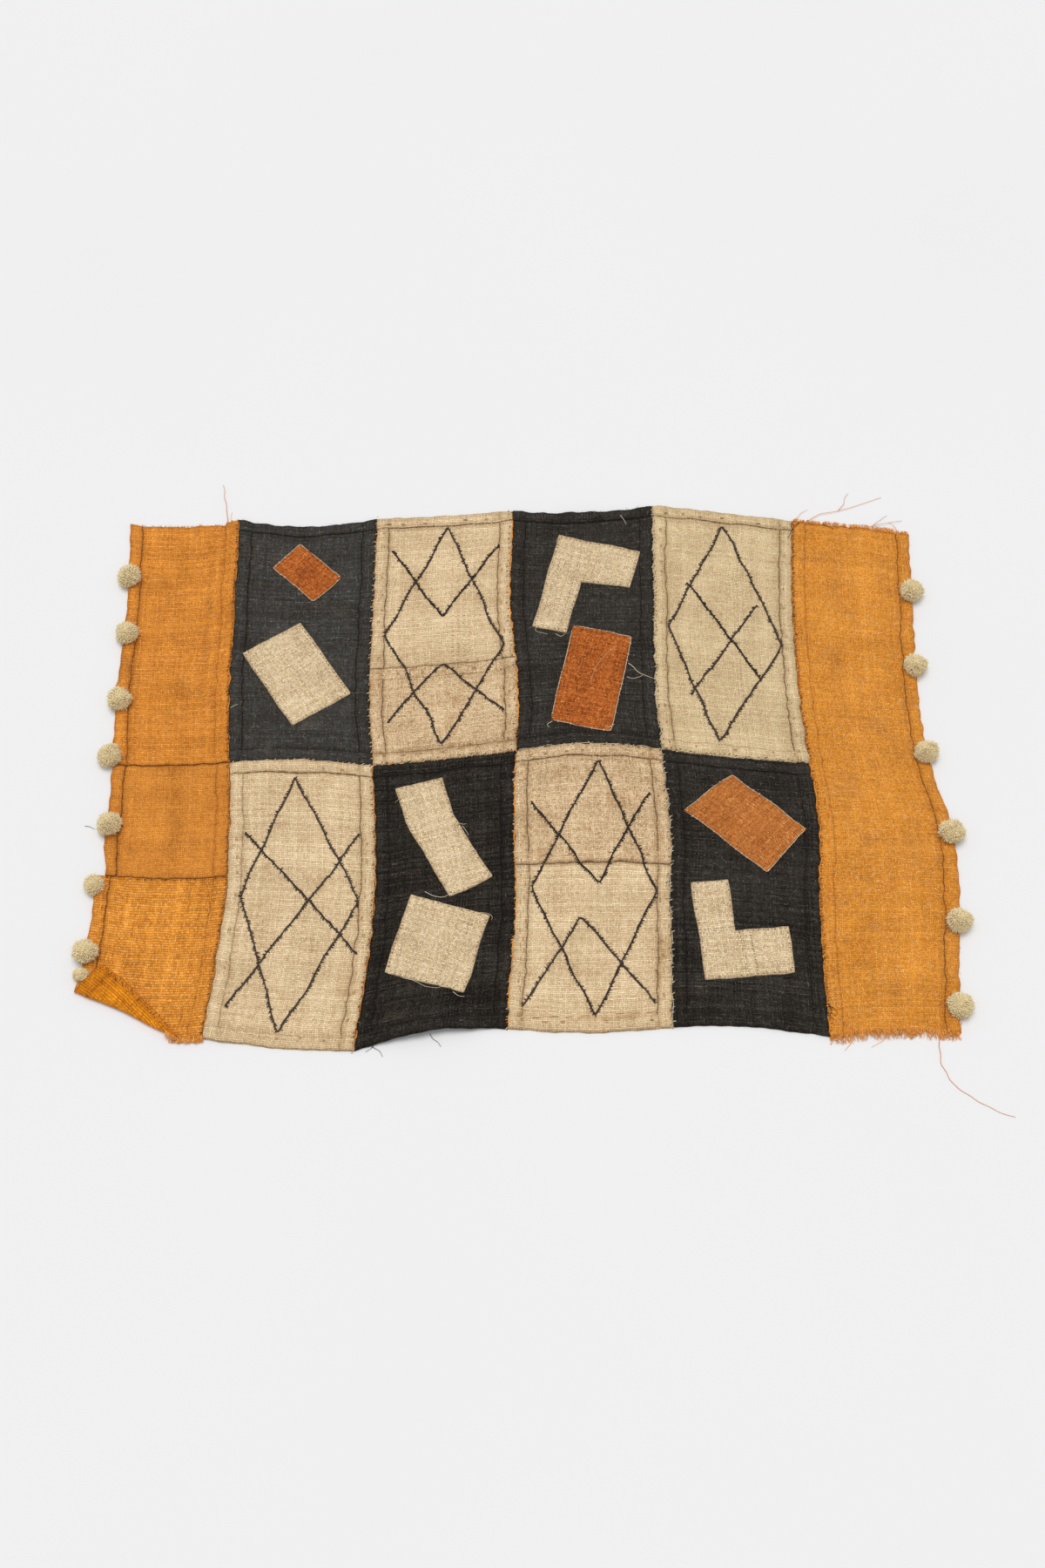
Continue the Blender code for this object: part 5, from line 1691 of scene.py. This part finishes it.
def woven(name):
    """Plain weave of uneven raffia: threads that pass over and under, with flecks and stains."""
    cloth = CLOTHS[name]
    g = Graph(name)
    uv = g.node("ShaderNodeUVMap", uv_map="weave").outputs[0]
    split = g.node("ShaderNodeSeparateXYZ", {0: uv})
    x, y = split.outputs[0], split.outputs[1]
    crosswise = g.vector(y, x, 40.0)

    def uneven(place, vector):
        drift = g.times_plus(g.noise(vector, DRIFT_SCALE, 1.0), DRIFT, place)
        return g.times_plus(g.noise(vector, WOBBLE_SCALE, 1.0), WOBBLE, drift)

    def thread_round(place):
        folded = g.times_plus(g.math("FRACT", place), 2.0, -1.0)
        return g.less(1.0, g.times(folded, folded))

    def over_under(place, other_number, shift):
        phase = g.plus(g.plus(place, other_number), shift)
        wave = g.math("COSINE", g.times(phase, math.pi))
        return g.times_plus(wave, 0.5, 0.5)

    def thread_shade(number, run, beside, seed):
        streaks = g.noise(g.vector(g.over(run, SHADE_LENGTH), beside, seed), 1.0, 2.0)
        return g.plus(g.random(g.plus(number, 61.7 * seed)), streaks)

    def on_top(weft, warp):
        return g.times_plus(g.less(weft, warp), weft_shows, warp)

    def drawn_out(length, beside_weft, beside_warp, weft_seed, warp_seed):
        weft = g.noise(g.vector(g.over(x, length), beside_weft, weft_seed), 1.0, 2.0)
        warp = g.noise(g.vector(g.over(y, length), beside_warp, warp_seed), 1.0, 2.0)
        return on_top(weft, warp)

    across = g.over(uneven(x, uv), cloth.warp)
    along = g.over(uneven(y, crosswise), cloth.weft)
    warp_number, weft_number = g.math("FLOOR", across), g.math("FLOOR", along)
    weft_top = g.times_plus(over_under(across, weft_number, -0.5), 1 - cloth.cover, cloth.cover)
    weft_height = g.times(thread_round(along), weft_top)
    warp_height = g.times(thread_round(across), over_under(along, warp_number, 0.5))
    height = g.math("MAXIMUM", weft_height, warp_height)
    weft_shows = g.math("GREATER_THAN", weft_height, warp_height)
    shade = on_top(thread_shade(weft_number, x, along, 3.0), thread_shade(warp_number, y, across, 9.0))
    cell = g.vector(warp_number, weft_number)
    crossing = g.node("ShaderNodeTexWhiteNoise", {"Vector": cell}, noise_dimensions="2D").outputs["Value"]
    patchy = g.noise(uv, 0.03, 3.0, 0.6)

    light = g.times_plus(g.less(shade, 1.0), 0.6 * cloth.threads, 1.0)
    light = g.times_plus(g.less(crossing, 0.5), cloth.crossings, light)
    light = g.times_plus(g.less(patchy, 0.5), 2 * cloth.patches, light)
    # Painted highlight on the threads' crowns, painted shade down their sides
    light = g.times_plus(g.less(g.ramp(height, 0.3, 1.0), 0.6), THREAD_HIGHLIGHT, light)
    fibres = drawn_out(FIBRE_LENGTH, g.times(y, FINENESS), g.times(x, FINENESS), 15.0, 18.0)
    light = g.times_plus(g.less(fibres, 0.5), FIBRE_LIGHT, light)
    light = g.plus(light, g.mark("streak"))
    # Painted shade beside hems' ends and edges darkens the colour
    painted_shade = g.times(g.mark("painted_shade"), g.times_plus(g.noise(uv, 0.3, 2.0), -0.3, -0.12))
    light = g.times(light, g.plus(painted_shade, 1.0))

    # Painted shade in the gaps between threads, where the holes open: low places take the between colour
    openness = g.ramp(g.noise(uv, 0.2, 3.0, 0.6), 0.35, 0.7)
    holes = g.times(g.times_plus(openness, 0.7, 0.55), cloth.holes)
    colour = g.mix(g.ramp(height, 0.02, holes), cloth.between, cloth.base)
    slubs = drawn_out(SLUB_LENGTH, g.times(weft_number, 3.7), g.times(warp_number, 3.7), 5.0, 8.0)
    odd_ones = g.ramp(g.random(g.times(crossing, 91.7)), 0.72, 0.95)
    fleck_share = g.times_plus(odd_ones, 0.35, g.ramp(slubs, 0.56, 0.66))
    colour = g.mix(g.times(fleck_share, cloth.flecks), colour, cloth.fleck)
    blots = g.times(g.ramp(g.noise(uv, 0.04, 4.0, 0.65), 0.52, 0.72), cloth.stains)
    spots = g.times(g.mark("stain"), g.ramp(g.noise(uv, 0.25, 4.0, 0.7), 0.38, 0.62))
    colour = g.mix(g.plus(blots, g.times(spots, 0.8)), colour, cloth.stain)
    light = g.math("MAXIMUM", light, DARKEST)
    warm = g.vector(light, *(g.math("POWER", light, power) for power in WARM_POWERS))
    colour = g.mix(1.0, colour, warm, "MULTIPLY")
    broken = g.times_plus(g.ramp(g.noise(uv, 0.5, 2.0), 0.3, 0.58), 0.7, 0.3)
    # Dark line at hems' ends, seams and edges: painted shadow and shade, with some staining
    colour = g.mix(g.times(g.mark("line"), broken), colour, cloth.line)
    colour = g.mix(g.mark("underside"), colour, UNDERSIDE_TINT, "MULTIPLY")
    relief = g.times(height, g.times_plus(crossing, 0.5, 0.75))
    relief = g.times_plus(fibres, 0.35, relief)
    return g.finish(colour, relief, WEAVE_BUMP, WEAVE_ROUGHNESS, WEAVE_SHEEN)


THREAD_BUMP = 0.0001
THREAD_SHEEN = {False: 0.1, True: 0.02}


def threaded(name):
    """Thread with a fine grain, each one of its own shade. Pompom yarn is also darker at its root, partly
    its own tone and partly painted shade deep in the ball.
    """
    dark, pale, roughness, _ = THREADS[name]
    g = Graph(name)
    place = g.node("ShaderNodeTexCoord").outputs["Object"]
    grain = g.noise(place, 900.0, 2.0)
    share = g.math("MULTIPLY_ADD", grain, 0.3, -0.15)
    if name == "pompom_yarn":
        # Darker towards the root: partly the yarn's own tone, partly painted shade inside the ball
        share = g.math("ADD", share, g.ramp(g.mark("along"), 0.1, 0.9))
        share = g.math("ADD", share, g.math("MULTIPLY_ADD", g.mark("shade"), 0.6, -0.36))
    else:
        share = g.math("ADD", share, g.mark("shade"))
    colour = g.mix(share, dark, pale)
    relief = g.noise(place, 2500.0, 2.0)
    return g.finish(colour, relief, THREAD_BUMP, roughness, THREAD_SHEEN[max(dark) < 0.1])


# The scene round the cloth, its floor in metres

FLOOR_HALF = 6.0


def make_floor():
    mesh = bpy.data.meshes.new("floor")
    corners = [(x * FLOOR_HALF, y * FLOOR_HALF, 0) for x, y in ((-1, -1), (1, -1), (1, 1), (-1, 1))]
    mesh.from_pydata(corners, [], [(0, 1, 2, 3)])
    g = Graph("floor")
    patchy = g.noise(g.node("ShaderNodeTexCoord").outputs["Object"], 3.0, 3.0)
    g.feed(g.shader.inputs["Base Color"], g.mix(patchy, (0.885, 0.885, 0.89), (0.915, 0.915, 0.92)))
    g.shader.inputs["Roughness"].default_value = 0.65
    g.shader.inputs["Specular IOR Level"].default_value = 0.2
    mesh.materials.append(g.material)
    floor = bpy.data.objects.new("floor", mesh)
    bpy.context.scene.collection.objects.link(floor)


def make_light(name, way, softness, strength):
    """A broad light with the same strength all over the floor."""
    light = bpy.data.lights.new(name, "SUN")
    light.angle, light.energy = math.radians(softness), strength
    obj = bpy.data.objects.new(name, light)
    obj.rotation_euler = Vector(way).to_track_quat("-Z", "Y").to_euler()
    bpy.context.scene.collection.objects.link(obj)


def make_camera():
    camera = bpy.data.cameras.new("camera")
    camera.lens, camera.sensor_height, camera.sensor_fit = CAMERA_LENS, CAMERA_SENSOR_HEIGHT, "VERTICAL"
    camera.clip_start, camera.clip_end = 0.05, 50
    obj = bpy.data.objects.new("camera", camera)
    place, aim = Vector(CAMERA_PLACE) * MM, Vector(CAMERA_AIM) * MM
    obj.location = place
    obj.rotation_euler = (aim - place).to_track_quat("-Z", "Y").to_euler()
    bpy.context.scene.collection.objects.link(obj)
    bpy.context.scene.camera = obj


def make_world():
    world = bpy.data.worlds.new("world")
    world.use_nodes = True
    background = world.node_tree.nodes["Background"]
    background.inputs["Color"].default_value = (1.0, 0.995, 1.0, 1)
    background.inputs["Strength"].default_value = 0.55
    bpy.context.scene.world = world
    bpy.context.scene.view_settings.view_transform = "Standard"


materials = {name: woven(name) for name in CLOTHS} | {name: threaded(name) for name in THREADS}
for number, row in enumerate(PANELS):
    make_panel(number, *row)
panel_tree = surface_tree()
for number, row in enumerate(PATCHES):
    make_patch(number, panel_tree, *row)
cloth_tree = surface_tree()
piles = {name: Threads(100 + order) for order, name in enumerate(THREADS)}
sew_seams(cloth_tree, piles)
for number, row in enumerate(PANELS):
    hem_stitches(cloth_tree, piles, number, *row)
for number, row in enumerate(PATCHES):
    sew_patch(cloth_tree, piles, number, *row)
for number, (name, courses) in enumerate(DIAMONDS.items()):
    embroider(cloth_tree, piles["thread_cream"], number, name, courses)
darn_all(cloth_tree, piles)
bind_flap(cloth_tree, piles)
for number, row in enumerate(PANELS):
    add_fuzz(cloth_tree, piles, number, *row)
for name, pile in piles.items():
    if pile.points:
        pile.build("stitches_" + name, name)
for number, row in enumerate(POMPOMS, 1):
    make_pompom(cloth_tree, number, *row)
for number, row in enumerate(FRAYS):
    make_fray(number, *row)
make_floor()
make_light("overhead", (0.05, -0.2, -1.0), 38, 1.35)
make_camera()
make_world()
